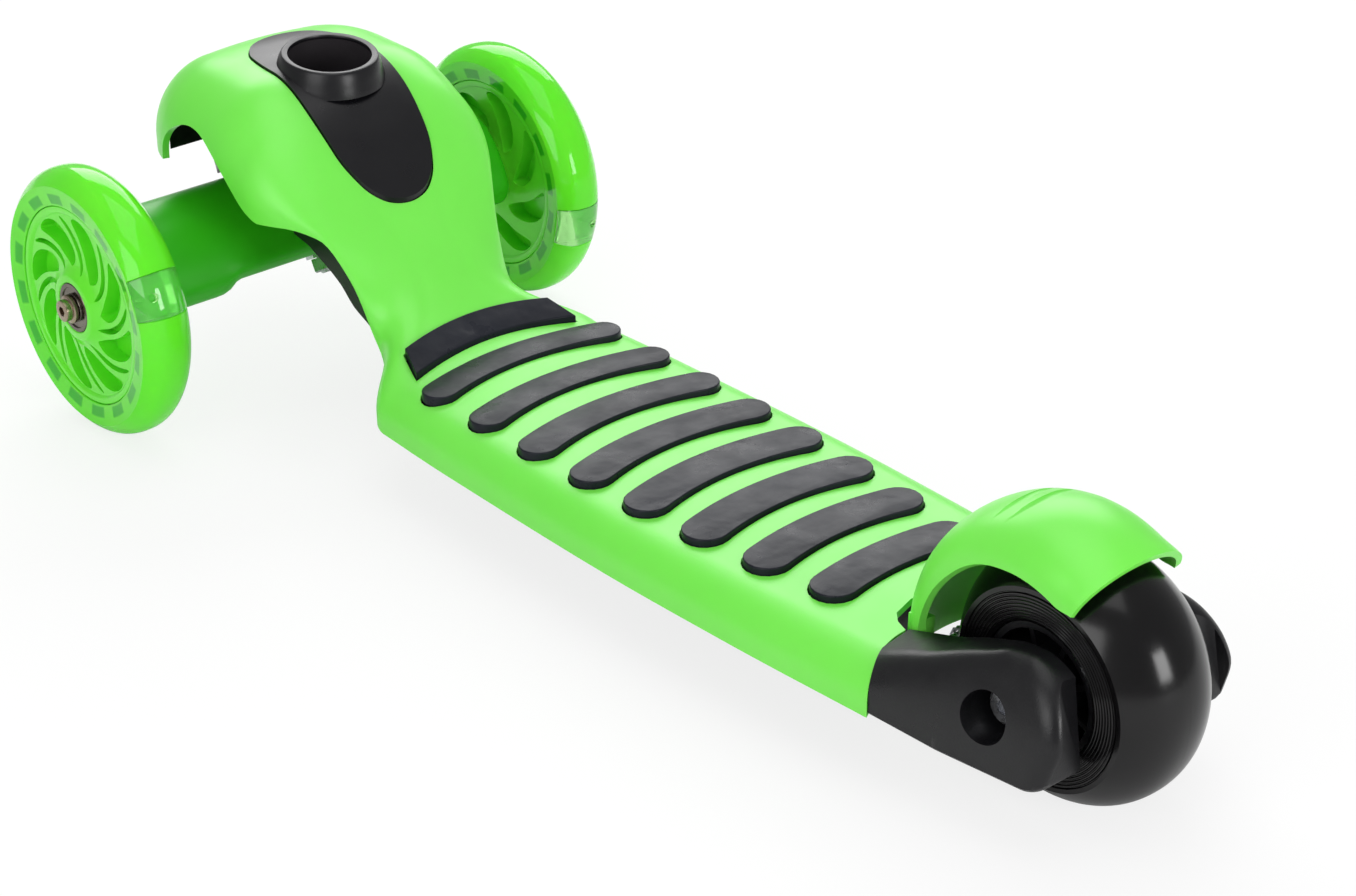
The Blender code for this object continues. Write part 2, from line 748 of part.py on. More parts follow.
def add_chassis():
    """The black moulding: head for the kingpin and the column, neck, ribbed tray and the two fork arms."""
    head_low, head_high = kingpin_point(PIVOT_FACE, 0.0205), kingpin_point(PIVOT_FACE, -0.0150)
    ceiling = 0.1180
    rings = [
        core_row(front(-0.0520), HOOD_EDGE + NOSE_LIFT + 0.0020, HOOD_HALF_WIDTH, ceiling - 0.004),
        core_row(front(-0.0445), HOOD_EDGE + NOSE_LIFT + 0.0005, HOOD_HALF_WIDTH, ceiling),
        core_row(front(-0.0430), HOOD_EDGE + NOSE_LIFT, HEAD_HALF_WIDTH - 0.002, ceiling),
        core_row(front(-0.0360), 0.0890, HEAD_HALF_WIDTH - 0.003, ceiling),
        core_row(front(-0.0330), head_low[1] + 0.0012, HEAD_HALF_WIDTH - 0.002, ceiling - 0.002),
        core_row(front(-0.0290), kingpin_point(PIVOT_FACE)[1] - 0.0070, HEAD_HALF_WIDTH, ceiling),
        core_row(front(-0.0140), kingpin_point(PIVOT_FACE)[1], HEAD_HALF_WIDTH, ceiling),
        core_row(head_high[0], head_high[1], HEAD_HALF_WIDTH, ceiling),
        core_row(front(0.0050), head_high[1], HEAD_HALF_WIDTH, ceiling),
        core_row(front(0.0300), head_high[1] - 0.0030, HEAD_HALF_WIDTH, ceiling),
        core_row(front(0.0345), 0.0880, NECK_HALF_WIDTH, ceiling),
        core_row(front(0.0360), 0.0800, NECK_HALF_WIDTH, ceiling),
    ]
    for back in (0.047, 0.058, 0.069, 0.079, 0.090, 0.100, 0.107, 0.115, 0.1228, 0.130, 0.140, 0.160):
        y = front(back)
        rings.append(core_row(y, core_edge(y), core_limit(y), ceiling))
    for share in (0.0, 0.33, 0.66, 1.0):
        y = mix(front(0.200), rear(-0.070), share)
        rings.append(core_row(y, DECK_EDGE + 0.0006, 0.080, ceiling))
    rings.append(core_row(rear(-0.0465), DECK_EDGE + 0.0006, 0.080, ceiling))
    chassis = mesh_object("chassis", *loft(rings), BLACK, smooth=35)
    arms = helper("fork_arms", *merged(fork_arm(1), fork_arm(-1)))
    join(chassis, arms)
    notch = [(FORK_GAP_HALF, rear(0.060)), (-FORK_GAP_HALF, rear(0.060))]
    corner = ((FORK_GAP_HALF, -0.0655), (0.0245, -0.0708), (0.0135, -0.0744))
    notch += [(-x, rear(y)) for x, y in corner]
    notch += [(x, rear(y)) for x, y in reversed(corner)]
    cut(chassis, helper("wheel_gap", *prism(notch, 0.0, BEYOND)))
    pockets = []
    for row in range(4):
        low = front(POCKET_FIRST) + row * POCKET_PITCH
        high = low + POCKET_LENGTH
        for left, right in ((-0.0505, -0.0190), (-0.0150, 0.0150), (0.0190, 0.0505)):
            pockets.append(prism([(left, low), (right, low), (right, high), (left, high)], 0.0, 0.0440))
    cut(chassis, helper("tray_pockets", *merged(*pockets)))
    join(chassis, helper("screw_posts", *merged(*[
        upright(rod(0.0072, DECK_EDGE + 0.0030, 0.0455, 8, "Z"), x, y) for x, y in SCREW_PLACES
    ])))
    cut(chassis, helper("screw_holes", *merged(*[
        upright(turned([
            (0.0, 0), (0.0, 0.0042), (SCREW_SEAT - 0.0020, 0.0042), (SCREW_SEAT - 0.0020, 0.0022),
            (SCREW_SEAT, 0.0022), (SCREW_SEAT, 0.0050), (0.070, 0.0050), (0.070, 0),
        ], 8, "Z", 0.11), x, y) for x, y in SCREW_PLACES
    ])))
    socket = turned([
        (-SLEEVE_DEPTH - GAP, 0), (-SLEEVE_DEPTH - GAP, SLEEVE_RADIUS + GAP),
        (0.020, SLEEVE_RADIUS + GAP), (0.020, 0),
    ], ROUND, "Z")
    cut(chassis, helper("sleeve_seat", *placed(socket, SOCKET_FRAME)))
    pivot = turned([
        (-0.020, 0), (-0.020, KINGPIN_RADIUS + 0.0001), (PIVOT_HEAD - GAP, KINGPIN_RADIUS + 0.0001),
        (PIVOT_HEAD - GAP, 0.0082), (0.100, 0.0082), (0.100, 0),
    ], SMALL_ROUND, "Z")
    cut(chassis, helper("kingpin_hole", *placed(pivot, KINGPIN_FRAME)))
    axle = turned([
        (-0.070, 0), (-0.070, AXLE_RECESS_RADIUS), (-AXLE_RECESS_FLOOR, AXLE_RECESS_RADIUS),
        (-AXLE_RECESS_FLOOR, 0.0041), (AXLE_RECESS_FLOOR, 0.0041),
        (AXLE_RECESS_FLOOR, AXLE_RECESS_RADIUS), (0.070, AXLE_RECESS_RADIUS), (0.070, 0),
    ], BORE_ROUND)
    spot = Matrix.Translation((0, REAR_AXLE_Y, REAR_TYRE_RADIUS))
    cut(chassis, helper("axle_hole", *placed(axle, spot)))
    pin = rod(FENDER_PIN_RADIUS + 0.0001, -0.080, 0.0380, 16)
    cut(chassis, helper("brake_pin_hole", *placed(pin, FENDER_PIN_PLACE)))
    return chassis


FENDER_PIN_PLACE = Matrix.Translation((0, rear(-FENDER_HINGE_AHEAD), FENDER_HINGE_HEIGHT))


def add_cover_posts(cover):
    posts = [upright(rod(0.0045, SCREW_SEAT + GAP, DECK_TOP - 0.0012, 8, "Z"), x, y) for x, y in SCREW_PLACES]
    join(cover, helper("cover_posts", *merged(*posts)))
    holes = [upright(rod(0.0018, 0.0300, DECK_TOP - 0.0036, 8, "Z"), x, y) for x, y in SCREW_PLACES]
    cut(cover, helper("post_holes", *merged(*holes)))


def add_screws():
    seat = SCREW_SEAT - 0.0020 - GAP
    outline = [
        (seat - 0.0022, 0), (seat - 0.0022, 0.0030), (seat - 0.0014, 0.0036), (seat, 0.0036),
        (seat, 0.0016), (DECK_TOP - 0.0042, 0.0016), (DECK_TOP - 0.0042, 0),
    ]
    for index, (x, y) in enumerate(SCREW_PLACES):
        mesh_object(f"cover_screw_{index + 1}", *upright(turned(outline, 10, "Z"), x, y), STEEL)


def add_trim():
    """The plate round the column socket, flowing up to a plain rim."""
    first, last = front(-0.0250), front(0.0820)
    rows = [mix(first, last, i / 10) for i in range(11)]
    points, faces, count, under = shell(rows, -TRIM_PROUD, COVER_WALL - 0.0004)
    for row in (0, len(rows) - 1):
        for j in range(count - 1):
            a = row * count + j
            faces.append((a, a + 1, under + a + 1, under + a))
    trim = mesh_object("socket_trim", points, faces, GLOSS_BLACK, smooth=40)
    plan = helper("trim_plan", *prism(trim_outline(-0.0001), SLEEVE_FOOT - 0.020, BEYOND))
    boolean(trim, plan, "INTERSECT")
    outer = SLEEVE_RADIUS + 0.0010
    collar = turned([
        (-SOCKET_RISE - 0.0065, outer - 0.0032), (-SOCKET_RISE - 0.0065, outer + 0.0016),
        (-SOCKET_RISE - 0.0015, outer + 0.0015), (-SOCKET_RISE / 2, outer + 0.0006),
        (-0.0012, outer + 0.0002), (-0.0003, outer - 0.0001), (0.0, outer - 0.0006),
        (0.0, outer - 0.0032),
    ], ROUND, "Z")
    join(trim, helper("trim_collar", *placed(collar, SOCKET_FRAME)))
    bore = turned([
        (-0.030, 0), (-0.030, SLEEVE_RADIUS + GAP), (-0.0016, SLEEVE_RADIUS + GAP),
        (-0.0016, SOCKET_BORE), (0.020, SOCKET_BORE), (0.020, 0),
    ], ROUND, "Z")
    cut(trim, helper("trim_bore", *placed(bore, SOCKET_FRAME)))


def add_sleeve():
    """The column's sleeve, closed at its foot, with a keyway up its rear side."""
    top = -0.0016 - GAP
    profile = [
        (-SLEEVE_DEPTH, 0), (-SLEEVE_DEPTH, SLEEVE_RADIUS), (top, SLEEVE_RADIUS), (top, SOCKET_BORE),
        (-SLEEVE_DEPTH + 0.0030, SOCKET_BORE), (-SLEEVE_DEPTH + 0.0030, 0),
    ]
    sleeve = mesh_object("column_sleeve", *placed(turned(profile, ROUND, "Z"), SOCKET_FRAME), BLACK)
    key = [(x, y) for x, y in ((-0.0025, SOCKET_BORE / 2), (0.0025, SOCKET_BORE / 2))]
    key += [(x, SOCKET_BORE + KEY_DEPTH) for x in (0.0025, -0.0025)]
    cut(sleeve, helper("keyway", *placed(prism(key, 0.0080 - SLEEVE_DEPTH, 0.0100), SOCKET_FRAME)))


BEAM_SECTION = (
    (0.021, -0.003), (0.022, 0.003), (0.017, 0.014), (0.008, 0.025), (-0.002, 0.030), (-0.014, 0.0305),
    (-0.024, 0.025), (-0.029, 0.014), (-0.029, 0.002), (-0.024, -0.008), (-0.010, -0.012), (0.008, -0.011),
    (0.017, -0.008),
)


def beam_ring(x, lift, shrink=0.0):
    ring = []
    for back, up in BEAM_SECTION:
        share = min(max((0.010 - up) / 0.020, 0.0), 1.0)
        middle = (-0.004, 0.010)
        back = mix(back, middle[0], shrink)
        up = mix(up + lift * share, middle[1], shrink)
        ring.append((x, front(back), FRONT_TYRE_RADIUS + up))
    return ring


def add_axle_beam():
    stations = (
        (BEAM_END, 0.0, 0.08), (BEAM_END - 0.0016, 0.0, 0.0), (0.0600, 0.0, 0.0), (0.0570, 0.0008, 0.0),
        (0.0530, 0.0045, 0.0), (0.0500, 0.0055, 0.0), (0.0200, 0.0055, 0.0),
    )
    rings = [beam_ring(-x, lift, shrink) for x, lift, shrink in stations]
    rings += [beam_ring(x, lift, shrink) for x, lift, shrink in reversed(stations)]
    beam = mesh_object("axle_beam", *loft(rings), GREEN, smooth=40)
    boss = turned([
        (BOSS_FOOT, 0), (BOSS_FOOT, 0.0155), (0.0200, 0.0165), (BOSS_HEAD + 0.0010, 0.0160),
        (BOSS_HEAD + 0.0010, 0),
    ], ROUND, "Z")
    join(beam, helper("kingpin_boss", *placed(boss, KINGPIN_FRAME)))
    bore = turned([
        (-0.060, 0), (-0.060, 0.0130), (BOSS_FOOT + 0.0005, 0.0130), (BOSS_FOOT + 0.0005, 0.0075),
        (-0.0060, 0.0075), (-0.0060, 0.0060), (0.0140, 0.0060), (0.0140, 0.0075), (BOSS_HEAD, 0.0075),
        (BOSS_HEAD, 0.0145), (0.060, 0.0145), (0.060, 0),
    ], BORE_ROUND, "Z")
    cut(beam, helper("kingpin_bore", *placed(bore, KINGPIN_FRAME)))
    spot = Matrix.Translation((0, FRONT_AXLE_Y, FRONT_TYRE_RADIUS))
    bolts = [rod(BEARING_BORE + 0.0001, side * 0.0560, side * 0.1200, SMALL_ROUND) for side in (1, -1)]
    cut(beam, helper("axle_bolt_holes", *placed(merged(*bolts), spot)))


def add_kingpin():
    reach = KINGPIN_RADIUS
    bolt = turned([
        (-0.0270, 0), (-0.0270, reach - 0.0006), (-0.0264, reach), (PIVOT_HEAD, reach),
        (PIVOT_HEAD, 0.0065), (PIVOT_HEAD + 0.0050, 0.0065), (PIVOT_HEAD + 0.0058, 0.0057),
        (PIVOT_HEAD + 0.0058, 0),
    ], SMALL_ROUND, "Z")
    kingpin = mesh_object("kingpin_bolt", *placed(bolt, KINGPIN_FRAME), STEEL)
    hexagon = prism(circle(0.0035, 6), PIVOT_HEAD + 0.0022, PIVOT_HEAD + 0.0100)
    cut(kingpin, helper("kingpin_hex", *placed(hexagon, KINGPIN_FRAME)))
    clear = reach + 0.00008
    upper = turned([
        (0.0140 + GAP, clear), (0.0140 + GAP, 0.0073), (BOSS_HEAD + GAP, 0.0073),
        (BOSS_HEAD + GAP, 0.0135), (BUSH_TOP, 0.0135), (BUSH_TOP, clear),
    ], BORE_ROUND, "Z")
    mesh_object("upper_steering_bush", *placed(upper, KINGPIN_FRAME), RUBBER)
    lower = turned([
        (-0.0175, clear), (-0.0175, 0.0120), (BOSS_FOOT + 0.0002, 0.0120), (BOSS_FOOT + 0.0002, 0.0073),
        (-0.0060 - GAP, 0.0073), (-0.0060 - GAP, clear),
    ], BORE_ROUND, "Z")
    mesh_object("lower_steering_bush", *placed(lower, KINGPIN_FRAME), BLACK)
    washer = tube(reach + 0.00008, 0.0085, -0.0193, -0.0178, BORE_ROUND, "Z")
    mesh_object("kingpin_washer", *placed(washer, KINGPIN_FRAME), STEEL)
    nut = loft([
        [(x, y, -0.0260) for x, y in circle(0.0068, 6)],
        [(x, y, -0.0252) for x, y in circle(0.0075, 6)],
        [(x, y, -0.0196) for x, y in circle(0.0075, 6)],
    ])
    made = mesh_object("kingpin_nut", *placed(nut, KINGPIN_FRAME), STEEL, smooth=20)
    thread = rod(reach + 0.00008, -0.040, 0.0, SMALL_ROUND, "Z")
    cut(made, helper("nut_thread", *placed(thread, KINGPIN_FRAME)))


def tread(radius, half, drop, power, steps):
    """The tyre's outer curve, from its left side face to its right one."""
    places = [half * math.cos(math.pi * i / steps) for i in range(steps + 1)]
    return [(x, radius - drop * abs(x / half) ** power) for x in places]


def bearing(name, inner_face, outer_face, centre):
    bore = BEARING_BORE + AXLE_CLEARANCE
    recess = math.copysign(0.0006, inner_face - outer_face)
    profile = [
        (outer_face, bore), (outer_face, 0.0063), (outer_face + recess, 0.0066), (outer_face + recess, 0.0088),
        (outer_face, 0.0091), (outer_face, BEARING_RADIUS), (inner_face, BEARING_RADIUS), (inner_face, bore),
    ]
    mesh_object(name, *placed(turned(profile, BORE_ROUND), Matrix.Translation(centre)), STEEL)


def swirl(radius):
    share = max((radius - 0.013) / 0.027, 0.0)
    return SWIRL_TURN * share**1.25


def swirl_band(radii, middle, halves):
    """Plan of one swirling opening: its middle line and its half-width at each radius."""
    one = []
    other = []
    for radius, half in zip(radii, halves):
        angle = swirl(radius) + middle
        spread = half / radius
        one.append((radius * math.cos(angle - spread), radius * math.sin(angle - spread)))
        other.append((radius * math.cos(angle + spread), radius * math.sin(angle + spread)))
    return one + other[::-1]


def facing(outline, low, high):
    """An outline in the plane of a wheel, Y to the rear and Z up, drawn along X."""
    return loft([[(x, a, b) for a, b in outline] for x in (low, high)])


def wheel_swirls(side):
    pocket_radii = [mix(0.0190, SWIRL_OUTER, share) for share in (0.0, 0.21, 0.61, 1.0)]
    pocket_halves = (0.0020, 0.0049, 0.0071, 0.0080)
    slot_radii = [mix(0.0175, SWIRL_OUTER - 0.0007, share) for share in (0.0, 0.48, 1.0)]
    slot_halves = (0.0008, 0.0018, 0.0017)
    pocket = swirl_band(pocket_radii, 0.0, pocket_halves)
    slot = swirl_band(slot_radii, math.pi / SWIRL_COUNT, slot_halves)
    shapes = []
    for outline, low, high in (
        (pocket, WEB_HALF, 0.030),
        (pocket, -0.030, -WEB_HALF),
        (slot, side * (WEB_HALF + 0.0030), side * 0.030),
    ):
        for index in range(SWIRL_COUNT):
            turn = Matrix.Rotation(2 * math.pi * index / SWIRL_COUNT, 2)
            turned_outline = [tuple(turn @ Vector(p)) for p in outline]
            shapes.append(facing(turned_outline, *sorted((low, high))))
    return merged(*shapes)


def window_shapes():
    """The openings through the flange, round which the tyre is moulded."""
    shapes = []
    for index in range(WINDOW_COUNT):
        middle = 2 * math.pi * (index + 0.5) / WINDOW_COUNT
        spread = 0.0060 / WINDOW_MIDDLE
        corners = ((-0.0026, -spread), (-0.0026, spread), (0.0026, spread), (0.0026, -spread))
        plan = []
        for out, angle in corners:
            radius = WINDOW_MIDDLE + out
            plan.append((radius * math.cos(middle + angle), radius * math.sin(middle + angle)))
        shapes.append(facing(plan, -0.030, 0.030))
    return merged(*shapes)


def light_wedge(middle, grow, floor):
    """The wedge that the light insert takes out of the tyre, drawn across its tread."""
    spread = LIGHT_HALF + grow / FRONT_TYRE_RADIUS
    outline = []
    beyond = FRONT_TYRE_RADIUS + 0.010
    for radius, side in ((floor, -1), (beyond, -1), (beyond, 1), (floor, 1)):
        angle = middle + side * spread
        outline.append((radius * math.cos(angle), radius * math.sin(angle)))
    return facing(outline, -0.030, 0.030)


def front_tyre_profile():
    half = FRONT_TYRE_WIDTH / 2
    curve = tread(FRONT_TYRE_RADIUS, half, TREAD_DROP, TREAD_POWER, TREAD_STEPS)
    inner = HUB_RING_OUTER + GAP
    side = FLANGE_HALF + GAP
    groove = [(-side, inner), (-side, FLANGE_OUTER + GAP), (side, FLANGE_OUTER + GAP), (side, inner)]
    return curve + [(-half + 0.0016, inner)] + groove + [(half - 0.0016, inner)]


def add_front_wheel(side_name, side):
    centre = (side * TRACK / 2, FRONT_AXLE_Y, FRONT_TYRE_RADIUS)
    spot = Matrix.Translation(centre)
    light = LIGHT_ANGLES[side_name]
    face = WHEEL_HUB_HALF
    seat = face - BEARING_WIDTH - 0.0002
    fit = (BEARING_RADIUS + BEARING_FIT) / math.cos(math.pi / TYRE_ROUND)
    profile = [
        (face, fit), (face, 0.0146), (HUB_RING_HALF - 0.0004, 0.0205),
        (HUB_RING_HALF - 0.0012, SWIRL_OUTER + 0.0007), (HUB_RING_HALF, HUB_RING_INNER),
        (HUB_RING_HALF, HUB_RING_OUTER), (FLANGE_HALF, HUB_RING_OUTER), (FLANGE_HALF, FLANGE_OUTER),
    ]
    mirrored = [(-x, r) for x, r in reversed(profile)]
    bore = [(-seat, fit), (-seat, 0.0085), (seat, 0.0085), (seat, fit)]
    hub = mesh_object(f"{side_name}_wheel_hub", *placed(turned(profile + mirrored + bore, TYRE_ROUND), spot),
                      WHEEL_GREEN, smooth=35)
    cut(hub, helper(f"{side_name}_swirls", *placed(wheel_swirls(side), spot)))
    cut(hub, helper(f"{side_name}_windows", *placed(window_shapes(), spot)))
    tyre = mesh_object(f"{side_name}_tyre", *placed(turned(front_tyre_profile(), TYRE_ROUND), spot), TYRE_GREEN)
    cut(tyre, helper(f"{side_name}_light_gap", *placed(light_wedge(light, GAP / 2, LIGHT_FLOOR), spot)))
    start = light - LIGHT_HALF + GAP / 2 / FRONT_TYRE_RADIUS
    half = FRONT_TYRE_WIDTH / 2
    curve = tread(FRONT_TYRE_RADIUS, half, TREAD_DROP, TREAD_POWER, TREAD_STEPS)
    floor = LIGHT_FLOOR + GAP
    block = turned(curve + [(curve[-1][0], floor), (curve[0][0], floor)], 4, "X", start,
                   2 * LIGHT_HALF - GAP / FRONT_TYRE_RADIUS)
    insert = mesh_object(f"{side_name}_light_insert", *placed(block, spot), CLEAR)
    well = rod(0.0025, LIGHT_FLOOR + 0.0032, FRONT_TYRE_RADIUS + 0.010, 10, "Z")
    tilt = Matrix.Translation((side * LIGHT_WELL_OUT, 0, 0)) @ Matrix.Rotation(light - math.pi / 2, 4, "X")
    cut(insert, helper(f"{side_name}_light_well", *placed(well, spot @ tilt)))
    for where, sign in (("inner", -1), ("outer", 1)):
        low = sign * side * (seat + GAP / 2)
        bearing(f"{side_name}_{where}_bearing", low, low + sign * side * BEARING_WIDTH, centre)
    spacer = tube(BEARING_BORE + AXLE_CLEARANCE, 0.0062, -seat, seat, BORE_ROUND)
    mesh_object(f"{side_name}_bearing_spacer", *placed(spacer, spot), STEEL)
    outline = [
        (0.0570, 0), (0.0570, BEARING_BORE - 0.0006), (0.0576, BEARING_BORE),
        (TRACK / 2 + face + 0.0006, BEARING_BORE), (TRACK / 2 + face + 0.0006, 0.0063),
        (TRACK / 2 + face + 0.0024, 0.0063), (TRACK / 2 + face + 0.0028, 0.0048),
        (TRACK / 2 + 0.0180, 0.0048), (TRACK / 2 + 0.0186, 0.0042), (TRACK / 2 + 0.0186, 0),
    ]
    line = Matrix.Translation((0, FRONT_AXLE_Y, FRONT_TYRE_RADIUS))
    bolt = turned([(side * x, r) for x, r in outline], BORE_ROUND)
    made = mesh_object(f"{side_name}_axle_bolt", *placed(bolt, line), NICKEL)
    start = side * (TRACK / 2 + 0.0160)
    hexagon = facing(circle(0.0023, 6), *sorted((start, start + side * 0.010)))
    cut(made, helper(f"{side_name}_bolt_hex", *placed(hexagon, line)))
    low = BEAM_END + GAP
    high = TRACK / 2 - face - GAP
    washer = tube(BEARING_BORE + AXLE_CLEARANCE, 0.0075, *sorted((side * low, side * high)), BORE_ROUND)
    mesh_object(f"{side_name}_axle_washer", *placed(washer, line), STEEL)


def add_rear_wheel():
    spot = Matrix.Translation((0, REAR_AXLE_Y, REAR_TYRE_RADIUS))
    centre = (0, REAR_AXLE_Y, REAR_TYRE_RADIUS)
    half = REAR_FACE_HALF
    curve = tread(REAR_TYRE_RADIUS, half, 0.0114, 2.2, 7)
    inner = REAR_HUB_RIM + GAP
    rings = []
    for radius in (0.0350,):
        rings += [(half, radius + 0.0007), (half - 0.0008, radius), (half, radius - 0.0007)]
    profile = curve + [(-x, r) for x, r in rings] + [(-half, inner), (half, inner)] + rings[::-1]
    mesh_object("rear_tyre", *placed(turned(profile, TYRE_ROUND), spot), GLOSS_BLACK)
    fit = (BEARING_RADIUS + BEARING_FIT) / math.cos(math.pi / TYRE_ROUND)
    seat = half - BEARING_WIDTH
    outline = [
        (half, fit), (half, 0.0145), (0.0030, 0.0156), (0.0030, 0.0222), (half - 0.0012, 0.0228),
        (half - 0.0012, REAR_HUB_RIM),
    ]
    bore = [(-seat, fit), (-seat, 0.0085), (seat, 0.0085), (seat, fit)]
    hub = mesh_object("rear_hub", *placed(turned(outline + [(-x, r) for x, r in reversed(outline)] + bore,
                                                 TYRE_ROUND), spot), BLACK, smooth=35)
    spokes = []
    for index in range(8):
        turn = Matrix.Rotation(2 * math.pi * (index + 0.5) / 8, 4, "X")
        bar = [(0.0148, -0.0011), (0.0232, -0.0011), (0.0232, 0.0011), (0.0148, 0.0011)]
        spokes.append(placed(facing(bar, -half + 0.0040, half - 0.0040), turn))
    join(hub, helper("rear_spokes", *placed(merged(*spokes), spot)))
    for name, sign in (("left", 1), ("right", -1)):
        low = sign * (seat + GAP / 2)
        bearing(f"rear_{name}_bearing", low, low + sign * (BEARING_WIDTH - GAP / 2), centre)
    spacer = tube(BEARING_BORE + AXLE_CLEARANCE, 0.0062, -seat, seat, BORE_ROUND)
    mesh_object("rear_bearing_spacer", *placed(spacer, spot), STEEL)
    for name, sign in (("left", 1), ("right", -1)):
        low, high = sign * (half + GAP), sign * (FORK_GAP_HALF - GAP)
        collar = tube(BEARING_BORE + AXLE_CLEARANCE, 0.0066, *sorted((low, high)), BORE_ROUND)
        mesh_object(f"rear_{name}_collar", *placed(collar, spot), STEEL)
    floor = AXLE_RECESS_FLOOR + GAP
    bolt = turned([
        (-0.0440, 0), (-0.0440, BEARING_BORE), (floor, BEARING_BORE), (floor, 0.0072),
        (floor + 0.0045, 0.0072), (floor + 0.0055, 0.0060), (floor + 0.0055, 0),
    ], BORE_ROUND)
    made = mesh_object("rear_axle_bolt", *placed(bolt, spot), NICKEL)
    hexagon = facing(circle(0.0030, 6), floor + 0.0025, floor + 0.0200)
    cut(made, helper("rear_bolt_hex", *placed(hexagon, spot)))
    ring = facing(circle(0.0075, 6), -floor - 0.0065, -floor)
    nut = mesh_object("rear_axle_nut", *placed(ring, spot), NICKEL, smooth=20)
    cut(nut, helper("axle_nut_thread", *placed(rod(BEARING_BORE + 0.00008, -0.060, -0.020, BORE_ROUND), spot)))


def fender_ring(angle, radius, half, wall, drop):
    """One cross-section of the brake fender: a half ellipse about the tyre, open below."""
    ring = []
    for surface in (wall / 2, -wall / 2):
        row = []
        for i in range(9):
            turn = mix(0.04, math.pi - 0.04, i / 8)
            x = (half + surface) * math.cos(turn)
            distance = radius + surface - (drop + surface * 0.5) * (1 - math.sin(turn))
            row.append((x, rear(-distance * math.cos(angle)), REAR_TYRE_RADIUS + distance * math.sin(angle)))
        ring += row if surface > 0 else row[::-1]
    return ring


def add_brake():
    """The fender, a lever on a pin that is pressed down on the tyre, with its return spring."""
    radius = smooth_curve([
        (-0.15, 0.0700), (0.0, 0.0697), (0.35, 0.0684), (0.70, 0.0660), (1.05, 0.0636), (1.40, 0.0612),
        (1.75, 0.0586), (2.06, 0.0564),
    ])
    drop = smooth_curve([
        (0.0, 0.0160), (0.54, 0.0170), (0.97, 0.0165), (1.27, 0.0175), (1.80, 0.0185), (FENDER_END, 0.0155),
    ])
    angles = [mix(-0.02, FENDER_END, i / 11) for i in range(12)]
    rings = []
    for angle in angles:
        rings.append(fender_ring(angle, radius(angle), FENDER_MIDDLE, FENDER_WALL, drop(angle)))
    fender = mesh_object("brake_fender", *loft(rings), GREEN, smooth=40)
    lugs = []
    lug = ((-0.0048, -0.0020), (-0.0020, -0.0050), (0.0020, -0.0050), (0.0048, -0.0020), (0.0048, 0.0190),
           (-0.0040, 0.0180))
    for side in (1, -1):
        ends = sorted((side * 0.0207, side * 0.0252))
        outline = [(rear(-FENDER_HINGE_AHEAD + y), FENDER_HINGE_HEIGHT + z) for y, z in lug]
        lugs.append(loft([[(x, y, z) for y, z in outline] for x in ends]))
    join(fender, helper("fender_lugs", *merged(*lugs)))
    grooves = []
    for middle in GROOVE_ANGLES:
        rows = []
        for i in range(7):
            x = mix(-GROOVE_REACH, GROOVE_REACH, i / 6)
            taper = 1 - abs(x / GROOVE_REACH) ** 3
            turn = math.acos(x / FENDER_HALF_WIDTH)
            bow = middle - GROOVE_BOW * (x / GROOVE_REACH) ** 2
            base = radius(bow) + FENDER_WALL / 2 - drop(bow) * (1 - math.sin(turn)) - GROOVE_DEPTH * taper
            half = GROOVE_HALF * (0.3 + 0.7 * taper)
            row = []
            for angle, rise in ((-1, GROOVE_DEPTH), (0, 0.0), (1, GROOVE_DEPTH), (1, 0.010), (-1, 0.010)):
                place, r = bow + angle * half, base + rise
                row.append((x, rear(-r * math.cos(place)), REAR_TYRE_RADIUS + r * math.sin(place)))
            rows.append(row)
        grooves.append(loft(rows))
    cut(fender, helper("fender_grooves", *merged(*grooves)))
    pin_hole = rod(FENDER_PIN_RADIUS + 0.00008, -0.060, 0.060, 16)
    cut(fender, helper("fender_pin_hole", *placed(pin_hole, FENDER_PIN_PLACE)))
    pin = rod(FENDER_PIN_RADIUS, -0.0450, 0.0370, 16, chamfer=0.0004)
    mesh_object("brake_pin", *placed(pin, FENDER_PIN_PLACE), STEEL)
    add_brake_spring()


def add_brake_spring():
    """A torsion spring on the brake pin, one leg under the fender and one on the deck."""
    coils = 4
    points = []
    radius = 0.0040
    for i in range(coils * 8 + 1):
        angle = 2 * math.pi * i / 8
        points.append((-0.0040 + 0.0020 * i / 8, radius * math.cos(angle), radius * math.sin(angle)))
    curve = bpy.data.curves.new("brake_spring", "CURVE")
    curve.dimensions = "3D"
    curve.bevel_depth = 0.0005
    curve.bevel_resolution = 1
    curve.use_fill_caps = True
    line = curve.splines.new("POLY")
    line.points.add(len(points) - 1)
    for spot, place in zip(line.points, points):
        spot.co = (*(FENDER_PIN_PLACE @ Vector(place)), 1)
    spring = bpy.data.objects.new("brake_spring", curve)
    bpy.context.collection.objects.link(spring)
    curve.materials.append(material(SPRING_STEEL))


def pivot(name, place, lean=0.0, carrier=None):
    """An empty on the axis of a moving part, leaning back from upright or level."""
    made = bpy.data.objects.new(name, None)
    made.empty_display_size = 0.02
    made.location = Vector(place) - (carrier.location if carrier else Vector())
    made.rotation_euler = (lean, 0.0, 0.0)
    bpy.context.collection.objects.link(made)
    made.parent = carrier
    return made


def hang(carrier, place, words):
    """Hang every piece whose name holds one of the words on an empty, without moving it."""
    for piece in list(bpy.data.objects):
        if piece.type == "EMPTY" or piece.parent or not any(word in piece.name for word in words):
            continue
        piece.parent = carrier
        piece.location = -Vector(place)


